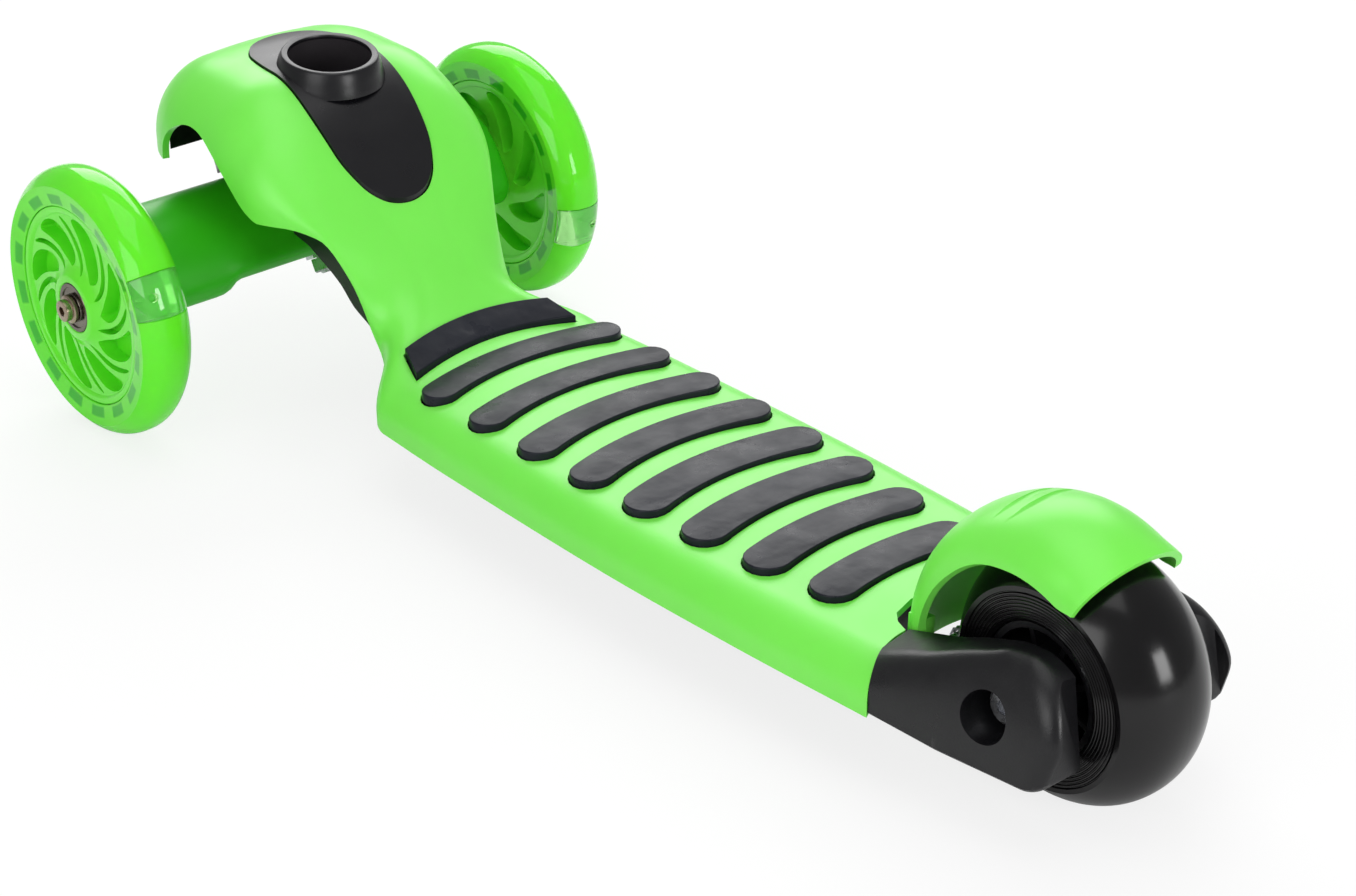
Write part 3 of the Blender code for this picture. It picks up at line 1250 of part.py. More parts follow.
def add_pivots():
    """The axes that the pieces move about: leaning to steer, the three wheels, and the fender."""
    kingpin = Vector((0, FRONT_AXLE_Y, KINGPIN_HEIGHT))
    steering = pivot("steering_axis", kingpin)
    for name, side in (("left", 1), ("right", -1)):
        centre = Vector((side * TRACK / 2, FRONT_AXLE_Y, FRONT_TYRE_RADIUS))
        wheel = pivot(f"{name}_wheel_axis", centre, carrier=steering)
        words = [f"{name}_{part}" for part in (
            "wheel_hub", "tyre", "light_insert", "inner_bearing", "outer_bearing", "bearing_spacer",
        )]
        hang(wheel, centre, words)
    hang(steering, kingpin, ("axle_beam", "left_axle", "right_axle", "steering_bush"))
    rear_wheel = Vector((0, REAR_AXLE_Y, REAR_TYRE_RADIUS))
    words = ("rear_tyre", "rear_hub", "rear_left_bearing", "rear_right_bearing", "rear_bearing_spacer")
    hang(pivot("rear_wheel_axis", rear_wheel), rear_wheel, words)
    hinge = FENDER_PIN_PLACE.translation
    hang(pivot("fender_axis", hinge), hinge, ("brake_fender",))


def main():
    for found in list(bpy.data.objects):
        bpy.data.objects.remove(found)
    cover = add_cover()
    add_cover_posts(cover)
    add_grip_strips()
    add_chassis()
    add_screws()
    add_trim()
    add_sleeve()
    add_axle_beam()
    add_kingpin()
    add_front_wheel("left", 1)
    add_front_wheel("right", -1)
    add_rear_wheel()
    add_brake()
    add_pivots()


main()
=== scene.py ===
"""Looks of a three-wheel kick scooter's base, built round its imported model. Metres, +Z up, front is -Y."""

import math

import bmesh
import bpy
from mathutils import Matrix, Vector


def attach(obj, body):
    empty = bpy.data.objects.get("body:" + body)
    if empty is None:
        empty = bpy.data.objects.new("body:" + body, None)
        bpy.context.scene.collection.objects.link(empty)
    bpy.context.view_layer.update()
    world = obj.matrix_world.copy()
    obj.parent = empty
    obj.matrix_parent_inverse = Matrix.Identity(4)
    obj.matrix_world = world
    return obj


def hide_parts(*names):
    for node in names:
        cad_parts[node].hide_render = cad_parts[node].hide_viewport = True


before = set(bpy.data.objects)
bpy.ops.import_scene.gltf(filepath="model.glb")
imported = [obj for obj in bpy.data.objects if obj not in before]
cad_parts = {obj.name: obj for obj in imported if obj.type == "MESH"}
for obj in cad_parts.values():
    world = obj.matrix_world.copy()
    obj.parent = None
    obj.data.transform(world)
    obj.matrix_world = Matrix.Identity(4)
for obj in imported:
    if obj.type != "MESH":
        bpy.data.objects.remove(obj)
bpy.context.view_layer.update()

# Wheels and axles
WHEELBASE = 0.4728
TRACK = 0.2218
FRONT_TYRE_RADIUS = 0.060
FRONT_TYRE_WIDTH = 0.024
REAR_TYRE_RADIUS = 0.050
BEARING_RADIUS = 0.011
BEARING_BORE = 0.0040
BEARING_WIDTH = 0.007
AXLE_CLEARANCE = 0.00009
BEARING_FIT = 0.00003
GAP = 0.0003
HUB_BORE = 0.0085
HUB_BORE_FACETS = 28

# Moulded cover
NOSE_REACH = 0.0620
NOSE_POWER = 2.2
HOOD_HALF_WIDTH = 0.0625
HOOD_TOP = 0.1470
HOOD_DEPTH = 0.0495
NOSE_LIFT = 0.0070
NOSE_DROP = 0.0012
ARCH_BACK = 0.0005
ARCH_FORE = 0.0225
ARCH_REAR = 0.0500
ARCH_HEIGHT = 0.0287
WAIST_HALF_WIDTH = 0.0362
FLARE_HALF_WIDTH = 0.0596
DECK_HALF_WIDTH = 0.0636
TAIL_HALF_WIDTH = 0.0580
DECK_TOP = 0.0508
DECK_EDGE = 0.030
COVER_WALL = 0.003
COVER_CROWN = 0.0012
CORE_GAP = 0.0011
CORE_CEILING = 0.1180
COVER_END_SIDE = -0.0475
COVER_END_FORE = -0.0590

# Grip strips
STRIP_COUNT = 9
STRIP_NARROW = 0.0150
STRIP_WIDE = 0.0190
STRIP_HALF_LENGTH = 0.0510
STRIP_TAPER = 0.0125
STRIP_ARC_RADIUS = 0.135
STRIP_HEIGHT = 0.0018
STRIP_CHAMFER = 0.0006
STRIP_FOOT = 0.0006
SLOT_CLEARANCE = 0.0007
FIRST_STRIP_BACK = 0.1240
FIRST_STRIP_WIDTH = 0.0120
FIRST_STRIP_ARC_RADIUS = 0.150
FIRST_STRIP_FORE = 0.0380
FIRST_STRIP_REAR = 0.0425
SECOND_STRIP_BACK = 0.1468
LAST_STRIP_AHEAD = 0.0999

# Column socket
SOCKET_BACK = 0.0230
SOCKET_RISE = 0.0045
SOCKET_TILT = math.radians(6.0)
SOCKET_BORE = 0.0180
SLEEVE_WALL = 0.0022
SLEEVE_FOOT = 0.1040
SLEEVE_FLOOR = 0.0030
SOCKET_LEDGE = 0.0016
KEY_HALF = 0.0025
KEY_FOOT = 0.0080
KEY_DEPTH = 0.0012
TRIM_PROUD = 0.0011

# Steering
KINGPIN_TILT = math.radians(28.0)
KINGPIN_HEIGHT = 0.068
KINGPIN_RADIUS = 0.0040
BEAM_END_GAP = 0.0018
BOSS_FOOT = -0.0145
BOSS_HEAD = 0.0235
HEAD_HALF_WIDTH = 0.030
NECK_HALF_WIDTH = 0.0328
PIVOT_FACE = 0.030
PIVOT_HEAD = 0.055

# Rear fork and fender
FORK_GAP_HALF = 0.0280
FORK_END = 0.0265
FORK_END_HALF_WIDTH = 0.0485
FORK_END_TOP = 0.0725
FORK_FOOT = 0.0279
FORK_INSET = 0.0004
AXLE_RECESS_RADIUS = 0.0097
AXLE_RECESS_FLOOR = 0.0345
FENDER_HALF_WIDTH = 0.0277
FENDER_WALL = 0.0024
FENDER_HINGE_AHEAD = 0.0580
FENDER_HINGE_HEIGHT = 0.0365
FENDER_PIN_RADIUS = 0.0025
FENDER_START = -0.20
FENDER_END = 1.985
GROOVE_DEPTH = 0.0012
GROOVE_ANGLES = (1.11, 1.24)
GROOVE_HALF = 0.036
GROOVE_REACH = 0.0175
GROOVE_BOW = 0.075

# Wheel details
TYRE_DEPTH = 0.0158
HUB_RING_WALL = 0.0025
HUB_RING_HALF = 0.0100
FLANGE_RISE = 0.0070
FLANGE_HALF = 0.0080
WINDOW_RISE = 0.0036
WINDOW_COUNT = 16
WINDOW_HALF_LENGTH = 0.0060
WINDOW_HALF_HEIGHT = 0.0026
SWIRL_COUNT = 8
SWIRL_TURN = math.radians(40.0)
WEB_HALF = 0.0018
LIGHT_ANGLES = {"left": math.radians(21.5), "right": math.radians(-11.0)}
LIGHT_HALF = math.radians(9.5)
LIGHT_DEPTH = 0.0070
WELL_RISE = 0.0032
WELL_RADIUS = 0.0020
WELL_DEPTH = 0.0024
LIGHT_WELL_OUT = 0.0050
TREAD_DROP = 0.0065
TREAD_POWER = 2.5
REAR_HUB_RIM = 0.0254
REAR_FACE_HALF = 0.0231
REAR_TREAD_DROP = 0.0114
REAR_TREAD_POWER = 2.2
REAR_TREAD_STEPS = 48
SEAM_HALF = 0.00025
SEAM_DEPTH = 0.00018
SIDE_RINGS = (0.0364, 0.0350, 0.0337, 0.0324, 0.0311, 0.0298, 0.0286, 0.0274)
SIDE_RING_HALF = 0.00045
SIDE_RING_DEPTH = 0.00045
FIRST_RING_DEPTH = 0.0007
SPOKE_COUNT = 8
SPOKE_HALF = 0.0011

# Tray and screws
POCKET_PITCH = 0.0600
POCKET_LENGTH = 0.0560
POCKET_FIRST = 0.1400
SCREW_X = 0.0345
SCREW_ROWS = (1, 3, 7)
SCREW_SEAT = 0.0400

# What follows from them
HOOD_EDGE = HOOD_TOP - HOOD_DEPTH
SOCKET_RIM = HOOD_TOP + SOCKET_RISE
SLEEVE_DEPTH = SOCKET_RIM - SLEEVE_FOOT
SLEEVE_RADIUS = SOCKET_BORE + SLEEVE_WALL
WHEEL_HUB_HALF = FRONT_TYRE_WIDTH / 2 + 0.0010
BEAM_END = TRACK / 2 - WHEEL_HUB_HALF - BEAM_END_GAP
HUB_RING_OUTER = FRONT_TYRE_RADIUS - TYRE_DEPTH
HUB_RING_INNER = HUB_RING_OUTER - HUB_RING_WALL
FLANGE_OUTER = HUB_RING_OUTER + FLANGE_RISE
WINDOW_MIDDLE = HUB_RING_OUTER + WINDOW_RISE
SWIRL_OUTER = HUB_RING_INNER - 0.0015
LIGHT_FLOOR = FRONT_TYRE_RADIUS - LIGHT_DEPTH
FENDER_MIDDLE = FENDER_HALF_WIDTH - FENDER_WALL / 2
STRIP_PITCH = (WHEELBASE - SECOND_STRIP_BACK - LAST_STRIP_AHEAD) / (STRIP_COUNT - 2)
BEYOND = WHEELBASE / 2
BEARING_SEAT_RADIUS = (BEARING_RADIUS + BEARING_FIT) / math.cos(math.pi / HUB_BORE_FACETS)
OUT_OF_TYRE = FRONT_TYRE_RADIUS + 0.010
REAR_AXLE_Y = (WHEELBASE + NOSE_REACH - REAR_TYRE_RADIUS) / 2
FRONT_AXLE_Y = REAR_AXLE_Y - WHEELBASE

# Fineness of the shapes, half the length of a wheel's cutters, and how near two points are one
ROUND = 96
TYRE_ROUND = 168
SMALL_ROUND = 48
BORE_ROUND = 64
ROW_STEPS = 26
TOP_STEPS = 6
CUT_HALF = 0.030
SAME_POINT = 0.000001
SAME_CORNER = 0.000004

# Looks
METAL_SPREAD = 0.08
# Painted shade over the front tyres where the hub's windows lie behind them: its reach across the ring and
# round each window, and its strength
WINDOW_SHADE_ACROSS = (0.0019, 0.0027)
WINDOW_SHADE_AROUND = (0.25, 0.31)
WINDOW_SHADE_STRENGTH = 0.9
WHITE = (1, 1, 1, 1)
WORLD_LIGHT = 0.40
FLOOR_COLOUR = (0.93, 0.93, 0.93, 1)
FLOOR_GLOW = 0.80
FLOOR_HALF = 6.0
FLOOR_HEIGHT = -0.0002
LIGHTS = (
    ("overhead", (0.05, 0.05, 1.45), (0, 0, 0), (1.0, 1.4), 6.5),
    ("far_side", (-0.90, -1.10, 0.95), (0, 0, 0.05), (1.6, 0.9), 17.0),
    ("near_side", (1.35, 0.45, 0.75), (0, 0, 0.05), (0.9, 0.9), 8.0),
    ("tail_window", (-0.15, 1.60, 0.50), (0, 0.2, 0.06), (0.50, 0.55), 8.5),
)

# Camera
CAMERA_AZIMUTH = math.radians(139.61)
CAMERA_ELEVATION = math.radians(27.91)
CAMERA_ROLL = math.radians(-0.38)
CAMERA_DISTANCE = 1.26526
CAMERA_TARGET = (-0.00469, 0.01788, 0.04616)
CAMERA_LENS = 83.79
SENSOR_WIDTH = 36.0


def front(back):
    """A place measured back from the front axle."""
    return FRONT_AXLE_Y + back


def rear(back):
    """A place measured back from the rear axle."""
    return REAR_AXLE_Y + back


def mix(a, b, share):
    return a + (b - a) * share


def ease(share):
    """0 to 1 with a level start and end."""
    share = min(max(share, 0.0), 1.0)
    return (1 - math.cos(math.pi * share)) / 2


def smooth_curve(points):
    """A monotone cubic through (place, value) pairs, level beyond its ends."""
    places = [p for p, _ in points]
    values = [v for _, v in points]
    steps = [b - a for a, b in zip(places, places[1:])]
    slopes = [(b - a) / h for a, b, h in zip(values, values[1:], steps)]
    tangents = [slopes[0]]
    for a, b in zip(slopes, slopes[1:]):
        tangents.append(0.0 if a * b <= 0 else 2 * a * b / (a + b))
    tangents.append(slopes[-1])

    def value(place):
        if place <= places[0]:
            return values[0]
        if place >= places[-1]:
            return values[-1]
        i = max(k for k, start in enumerate(places[:-1]) if start <= place)
        h = steps[i]
        u = (place - places[i]) / h
        return (
            values[i] * (1 + 2 * u) * (1 - u) ** 2
            + tangents[i] * h * u * (1 - u) ** 2
            + values[i + 1] * u * u * (3 - 2 * u)
            + tangents[i + 1] * h * u * u * (u - 1)
        )

    return value


def mesh_object(name, shape, finish=None, at=None):
    """A named object of a shape's points and faces, turned to face out."""
    points, faces = shape if at is None else placed(shape, at)
    mesh = bpy.data.meshes.new(name)
    mesh.from_pydata([tuple(p) for p in points], [], faces)
    work = bmesh.new()
    work.from_mesh(mesh)
    bmesh.ops.remove_doubles(work, verts=work.verts, dist=SAME_POINT)
    bmesh.ops.recalc_face_normals(work, faces=work.faces)
    work.to_mesh(mesh)
    work.free()
    if finish:
        mesh.materials.append(finish)
    made = bpy.data.objects.new(name, mesh)
    bpy.context.collection.objects.link(made)
    return made


def boolean(target, operation, name, shape, at=None):
    """A Boolean on the target with a shape, which may be given in a frame of its own."""
    other = mesh_object("cutter_" + name, shape, at=at)
    other.hide_render = True
    other.hide_viewport = True
    step = target.modifiers.new(other.name, "BOOLEAN")
    step.operation = operation
    step.object = other
    step.solver = "EXACT"


def cut(target, name, shape, at=None):
    boolean(target, "DIFFERENCE", name, shape, at)


def join(target, name, shape, at=None):
    boolean(target, "UNION", name, shape, at)


def settle(target, body, node, edge=0.0, smooth=40, segments=2, angle=40):
    """Applies the piece's Booleans, softens its edges and makes it stand for its node."""
    graph = bpy.context.evaluated_depsgraph_get()
    made = bpy.data.meshes.new_from_object(target.evaluated_get(graph))
    cutters = [step.object for step in target.modifiers]
    target.modifiers.clear()
    target.data = made
    for cutter in cutters:
        bpy.data.objects.remove(cutter)
    work = bmesh.new()
    work.from_mesh(made)
    bmesh.ops.remove_doubles(work, verts=work.verts, dist=SAME_CORNER)
    bmesh.ops.dissolve_degenerate(work, dist=SAME_CORNER, edges=work.edges)
    work.to_mesh(made)
    work.free()
    made.shade_smooth()
    made.set_sharp_from_angle(angle=math.radians(smooth))
    if edge:
        bevel = target.modifiers.new("soft_edges", "BEVEL")
        bevel.width = edge
        bevel.segments = segments
        bevel.limit_method = "ANGLE"
        bevel.angle_limit = math.radians(angle)
        bevel.use_clamp_overlap = True
        bevel.harden_normals = False
    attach(target, body)
    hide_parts(node)


def loft(rings):
    """Points and faces of a closed solid through rings of equal length, with flat ends."""
    count = len(rings[0])
    points = [p for ring in rings for p in ring]
    faces = []
    for i in range(len(rings) - 1):
        for j in range(count):
            k = (j + 1) % count
            faces.append((i * count + j, i * count + k, (i + 1) * count + k, (i + 1) * count + j))
    faces.append(tuple(range(count)))
    faces.append(tuple(range((len(rings) - 1) * count, len(rings) * count)))
    return points, faces


def prism(outline, low, high):
    """An outline in X and Y, drawn up from low to high."""
    return loft([[(x, y, z) for x, y in outline] for z in (low, high)])


def circle(radius, count):
    angles = [2 * math.pi * i / count for i in range(count)]
    return [(radius * math.cos(a), radius * math.sin(a)) for a in angles]


def along(axis, distance, radius, angle):
    """A point of a turned shape: distance along its axis, then radius and angle about it."""
    if axis == "X":
        return (distance, radius * math.cos(angle), radius * math.sin(angle))
    return (radius * math.cos(angle), radius * math.sin(angle), distance)


def turned(profile, count=ROUND, axis="X", start=0.0, sweep=None):
    """A closed profile of (distance, radius) turned about an axis, all round or through a sweep."""
    steps = count if sweep is None else count + 1
    span = 2 * math.pi if sweep is None else sweep
    angles = [start + span * i / count for i in range(steps)]
    points = []
    index = []
    for distance, radius in profile:
        if radius < 1e-9:
            index.append([len(points)] * steps)
            points.append(along(axis, distance, 0.0, 0.0))
            continue
        index.append(list(range(len(points), len(points) + steps)))
        points += [along(axis, distance, radius, a) for a in angles]
    faces = []
    size = len(profile)
    for i in range(size):
        a, b = index[i], index[(i + 1) % size]
        if a[0] == a[1] and b[0] == b[1]:
            continue
        for j in range(count):
            k = (j + 1) % steps
            corners = [a[j], a[k], b[k], b[j]]
            faces.append(tuple(dict.fromkeys(corners)))
    if sweep is not None:
        faces.append(tuple(ring[0] for ring in index))
        faces.append(tuple(ring[-1] for ring in index))
    return points, faces


def rod(radius, low, high, count=SMALL_ROUND, axis="X"):
    """A round bar between two distances along its axis."""
    return turned([(low, 0), (low, radius), (high, radius), (high, 0)], count, axis)


def placed(shape, matrix):
    points, faces = shape
    return [matrix @ Vector(p) for p in points], faces


# Frames of reference: the kingpin and the column socket lean, with their axes along local Z,
# and both wheel axles and the fender's pin lie level, along local X
KINGPIN_FRAME = Matrix.Translation((0, FRONT_AXLE_Y, KINGPIN_HEIGHT)) @ Matrix.Rotation(KINGPIN_TILT, 4, "X")
SOCKET_FRAME = Matrix.Translation((0, front(SOCKET_BACK), SOCKET_RIM)) @ Matrix.Rotation(-SOCKET_TILT, 4, "X")
FRONT_AXLE_FRAME = Matrix.Translation((0, FRONT_AXLE_Y, FRONT_TYRE_RADIUS))
REAR_AXLE_FRAME = Matrix.Translation((0, REAR_AXLE_Y, REAR_TYRE_RADIUS))
FENDER_PIN_FRAME = Matrix.Translation((0, rear(-FENDER_HINGE_AHEAD), FENDER_HINGE_HEIGHT))

# The cover's form: values along its length
NOSE_START = front(-0.005)
ARCH_MIDDLE = front(ARCH_BACK)
half_width_of_deck = smooth_curve([
    (front(0.134), FLARE_HALF_WIDTH),
    (front(0.180), mix(FLARE_HALF_WIDTH, DECK_HALF_WIDTH, 0.55)),
    (mix(front(0), rear(0), 0.60), DECK_HALF_WIDTH),
    (rear(-0.120), mix(DECK_HALF_WIDTH, TAIL_HALF_WIDTH, 0.30)),
    (rear(-0.045), TAIL_HALF_WIDTH),
])
edge_height = smooth_curve([
    (front(-0.022), HOOD_EDGE + NOSE_LIFT),
    (front(0.020), HOOD_EDGE),
    (front(0.062), HOOD_EDGE),
    (front(0.075), mix(HOOD_EDGE, DECK_EDGE, 0.05)),
    (front(0.087), mix(HOOD_EDGE, DECK_EDGE, 0.30)),
    (front(0.099), mix(HOOD_EDGE, DECK_EDGE, 0.67)),
    (front(0.110), mix(HOOD_EDGE, DECK_EDGE, 0.85)),
    (front(0.123), mix(HOOD_EDGE, DECK_EDGE, 0.955)),
    (front(0.134), DECK_EDGE),
])
shoulder_width = smooth_curve([(front(0.040), 0.036), (front(0.101), 0.024), (front(0.145), 0.017)])
shoulder_height = smooth_curve([(front(0.040), 0.034), (front(0.101), 0.020), (front(0.145), 0.014)])


def half_width(y):
    back = y - FRONT_AXLE_Y
    if back < 0.101:
        return mix(HOOD_HALF_WIDTH, WAIST_HALF_WIDTH, ease((back - 0.040) / 0.061))
    if back < 0.134:
        return mix(WAIST_HALF_WIDTH, FLARE_HALF_WIDTH, ease((back - 0.101) / 0.033))
    return half_width_of_deck(y)


def crest(y):
    return mix(HOOD_TOP, DECK_TOP, ease((y - front(0.015)) / 0.128))


def lower_edge(y):
    """Height of the cover's edge, which arches up over the axle."""
    back = y - ARCH_MIDDLE
    rise = 0.0
    if -ARCH_FORE < back <= 0:
        rise = math.sqrt(1 - (back / ARCH_FORE) ** 2)
    elif 0 < back < ARCH_REAR:
        rise = math.cos(math.pi / 2 * back / ARCH_REAR) ** 1.3
    return mix(edge_height(y), HOOD_EDGE + ARCH_HEIGHT, rise)


def slope(curve, y):
    step = 0.001
    return (curve(y + step) - curve(y - step)) / (2 * step)


def shader_of(name):
    made = bpy.data.materials.new(f"{name}_finish")
    made.use_nodes = True
    return made, made.node_tree, made.node_tree.nodes["Principled BSDF"]


def fill(tree, node, inputs):
    """Gives each of a node's inputs a value, or another node's output."""
    for key, value in inputs.items():
        if isinstance(value, bpy.types.NodeSocket):
            tree.links.new(value, node.inputs[key])
        else:
            node.inputs[key].default_value = value


def node_of(tree, kind, inputs):
    made = tree.nodes.new("ShaderNode" + kind)
    fill(tree, made, inputs)
    return made


def noise(tree, scale, detail=2.0, rough=0.5, stretch=None):
    """A noise texture in object space, in waves per metre."""
    place = tree.nodes.new("ShaderNodeTexCoord").outputs["Object"]
    if stretch:
        place = node_of(tree, "Mapping", {"Vector": place, "Scale": stretch}).outputs["Vector"]
    inputs = {"Vector": place, "Scale": scale, "Detail": detail, "Roughness": rough}
    return node_of(tree, "TexNoise", inputs).outputs["Fac"]


def ranged(tree, source, low, high, first=0.3, last=0.7):
    inputs = {"Value": source, "From Min": first, "From Max": last, "To Min": low, "To Max": high}
    return node_of(tree, "MapRange", inputs).outputs["Result"]


def blended(tree, factor, first, second):
    """A mix of two colours, which a colour node keeps in its inputs 6 and 7."""
    made = tree.nodes.new("ShaderNodeMix")
    made.data_type = "RGBA"
    fill(tree, made, {"Factor": factor, 6: first, 7: second})
    return made.outputs[2]


def drifting(tree, scale, light, dark):
    """A colour that drifts slowly between a light and a dark tone."""
    return blended(tree, ranged(tree, noise(tree, scale, 3.0), 0.0, 1.0), (*dark, 1), (*light, 1))


def bumped(tree, height, depth, below=None):
    inputs = {"Distance": depth, "Height": height}
    if below:
        inputs["Normal"] = below
    return node_of(tree, "Bump", inputs).outputs["Normal"]


def math_node(tree, operation, first, second=0.0):
    """The result of one sum on two values, each a number or another node's output."""
    made = tree.nodes.new("ShaderNodeMath")
    made.operation = operation
    fill(tree, made, {0: first, 1: second})
    return made.outputs[0]


def let_light_in(tree, shader, weight):
    """Green plastic that passes a little light, mostly green."""
    scatter = {"Subsurface Weight": weight, "Subsurface Radius": (0.1, 1.0, 0.05), "Subsurface Scale": 0.004}
    fill(tree, shader, scatter)


def moulded(name, light, dark, roughness, spread, grain, depth, waves=0.0, wave_scale=30.0, specular=0.5,
            subsurface=0.0):
    """Moulded plastic or rubber: slight colour drift, uneven gloss, and a fine grain over slow waves."""
    made, tree, shader = shader_of(name)
    gloss = ranged(tree, noise(tree, 60.0, 4.0, 0.6), roughness - spread, roughness + spread)
    normal = bumped(tree, noise(tree, grain, 2.0, 0.6), depth)
    if waves:
        normal = bumped(tree, noise(tree, wave_scale), waves, normal)
    fill(tree, shader, {
        "Base Color": drifting(tree, 22.0, light, dark), "Roughness": gloss, "Normal": normal,
        "Specular IOR Level": specular,
    })
    if subsurface:
        let_light_in(tree, shader, subsurface)
    return made


def painted_window_shade(tree):
    """One where the clear tyre fills a window of the hub's flange, and nought elsewhere: the mask that places
    the painted shade of the windows seen through the tyre.
    """
    place = tree.nodes.new("ShaderNodeTexCoord").outputs["Object"]
    parts = node_of(tree, "SeparateXYZ", {0: place}).outputs

    def worked(operation, first, second=0.0):
        return math_node(tree, operation, first, second)

    ahead = worked("SUBTRACT", parts["Y"], FRONT_AXLE_Y)
    above = worked("SUBTRACT", parts["Z"], FRONT_TYRE_RADIUS)
    radius = worked("SQRT", worked("ADD", worked("POWER", ahead, 2.0), worked("POWER", above, 2.0)))
    off_ring = worked("ABSOLUTE", worked("SUBTRACT", radius, WINDOW_MIDDLE))
    turns = worked("MULTIPLY", worked("ARCTAN2", above, ahead), WINDOW_COUNT / (2 * math.pi))
    off_window = worked("ABSOLUTE", worked("SUBTRACT", worked("FRACT", turns), 0.5))
    across = ranged(tree, off_ring, 1.0, 0.0, *WINDOW_SHADE_ACROSS)
    around = ranged(tree, off_window, 1.0, 0.0, *WINDOW_SHADE_AROUND)
    return worked("MULTIPLY", across, around)


def clear_plastic(name, light, dark, transmission, roughness, specular=0.5, deep=None, subsurface=0.0):
    """Clear or milky urethane with faint streaks of the mould's flow, and a darker green painted over the
    windows as painted shade of the recesses seen through the tyre.
    """
    made, tree, shader = shader_of(name)
    colour = drifting(tree, 30.0, light, dark)
    if deep:
        # The deep colour is painted shade, laid over the windows seen through the tyre
        share = math_node(tree, "MULTIPLY", painted_window_shade(tree), WINDOW_SHADE_STRENGTH)
        colour = blended(tree, share, colour, (*deep, 1))
    gloss = ranged(tree, noise(tree, 90.0, 3.0), roughness * 0.7, roughness * 1.5)
    fill(tree, shader, {
        "Base Color": colour, "Roughness": gloss,
        "Normal": bumped(tree, noise(tree, 120.0), 0.00004), "Transmission Weight": transmission,
        "Specular IOR Level": specular, "IOR": 1.49,
    })
    if subsurface:
        let_light_in(tree, shader, subsurface)
    return made


def metal(name, light, dark, roughness):
    """Plated metal with fine marks from its turning."""
    made, tree, shader = shader_of(name)
    marks = noise(tree, 3.0, 4.0, 0.7, (600.0, 60.0, 60.0))
    fill(tree, shader, {
        "Base Color": drifting(tree, 140.0, light, dark), "Normal": bumped(tree, marks, 0.00001),
        "Roughness": ranged(tree, marks, roughness - METAL_SPREAD, roughness + METAL_SPREAD), "Metallic": 1.0,
    })
    return made


GREEN = moulded("green_moulding", (0.185, 0.82, 0.080), (0.170, 0.79, 0.070), 0.36, 0.03, 2600.0, 0.000012,
                waves=0.00005, subsurface=0.12)
# The moulding's green darkened and deepened as painted shade, for the shadow the hood casts over the axle
# beam
BEAM_PAINTED_SHADE_GREEN = moulded("painted_shade_moulding", (0.032, 0.47, 0.006), (0.026, 0.43, 0.005), 0.36, 0.03, 2600.0,
                       0.000012, waves=0.00005, specular=0.4, subsurface=0.12)
WHEEL_GREEN = moulded("wheel_green", (0.150, 0.84, 0.030), (0.125, 0.80, 0.024), 0.20, 0.03, 2200.0, 0.000006,
                      specular=0.45, subsurface=0.10)
# The front tyre's deep colour is painted shade of the hub's windows, seen as dark recesses through the tyre
TYRE_GREEN = clear_plastic("green_tyre", (0.170, 0.95, 0.030), (0.140, 0.92, 0.022), 0.20, 0.07,
                           specular=0.32, deep=(0.014, 0.50, 0.004), subsurface=0.25)
CLEAR = clear_plastic("clear_insert", (0.50, 0.95, 0.38), (0.44, 0.93, 0.32), 0.90, 0.03)
LINING = moulded("socket_lining", (0.030, 0.027, 0.030), (0.024, 0.021, 0.024), 0.36, 0.08, 1500.0, 0.00004)
NYLON = moulded("black_nylon", (0.0075, 0.0073, 0.0086), (0.0045, 0.0045, 0.0055), 0.34, 0.08, 1500.0,
                0.00005, waves=0.00008, wave_scale=70.0, specular=0.34)
TRIM_BLACK = moulded("gloss_black", (0.0060, 0.0058, 0.0075), (0.0045, 0.0043, 0.0058), 0.30, 0.04, 2400.0,
                     0.00002, specular=0.36)
REAR_TYRE = moulded("black_tyre", (0.0030, 0.0026, 0.0030), (0.0020, 0.0018, 0.0022), 0.19, 0.05, 1800.0,
                    0.00001, waves=0.00003, wave_scale=60.0, specular=0.36)
RUBBER = moulded("grip_rubber", (0.0165, 0.0180, 0.0255), (0.0105, 0.0115, 0.0170), 0.32, 0.10, 1500.0,
                 0.00003, waves=0.00060, wave_scale=75.0, specular=0.13)
STEEL = metal("steel", (0.56, 0.57, 0.59), (0.46, 0.47, 0.50), 0.30)
NICKEL = metal("nickel", (0.36, 0.29, 0.215), (0.28, 0.22, 0.16), 0.28)
RACE = metal("bearing_race", (0.17, 0.15, 0.125), (0.12, 0.105, 0.085), 0.24)
SPRING = metal("spring_wire", (0.42, 0.43, 0.46), (0.34, 0.35, 0.38), 0.32)


def evenly(line, count):
    """The points that divide a line of points into equal lengths."""
    lengths = [0.0]
    for a, b in zip(line, line[1:]):
        lengths.append(lengths[-1] + math.dist(a, b))
    found = []
    for i in range(count + 1):
        goal = lengths[-1] * i / count
        k = next(k for k in range(1, len(line)) if lengths[k] >= goal - 1e-9)
        share = (goal - lengths[k - 1]) / (lengths[k] - lengths[k - 1])
        found.append(tuple(mix(a, b, share) for a, b in zip(line[k - 1], line[k])))
    return found


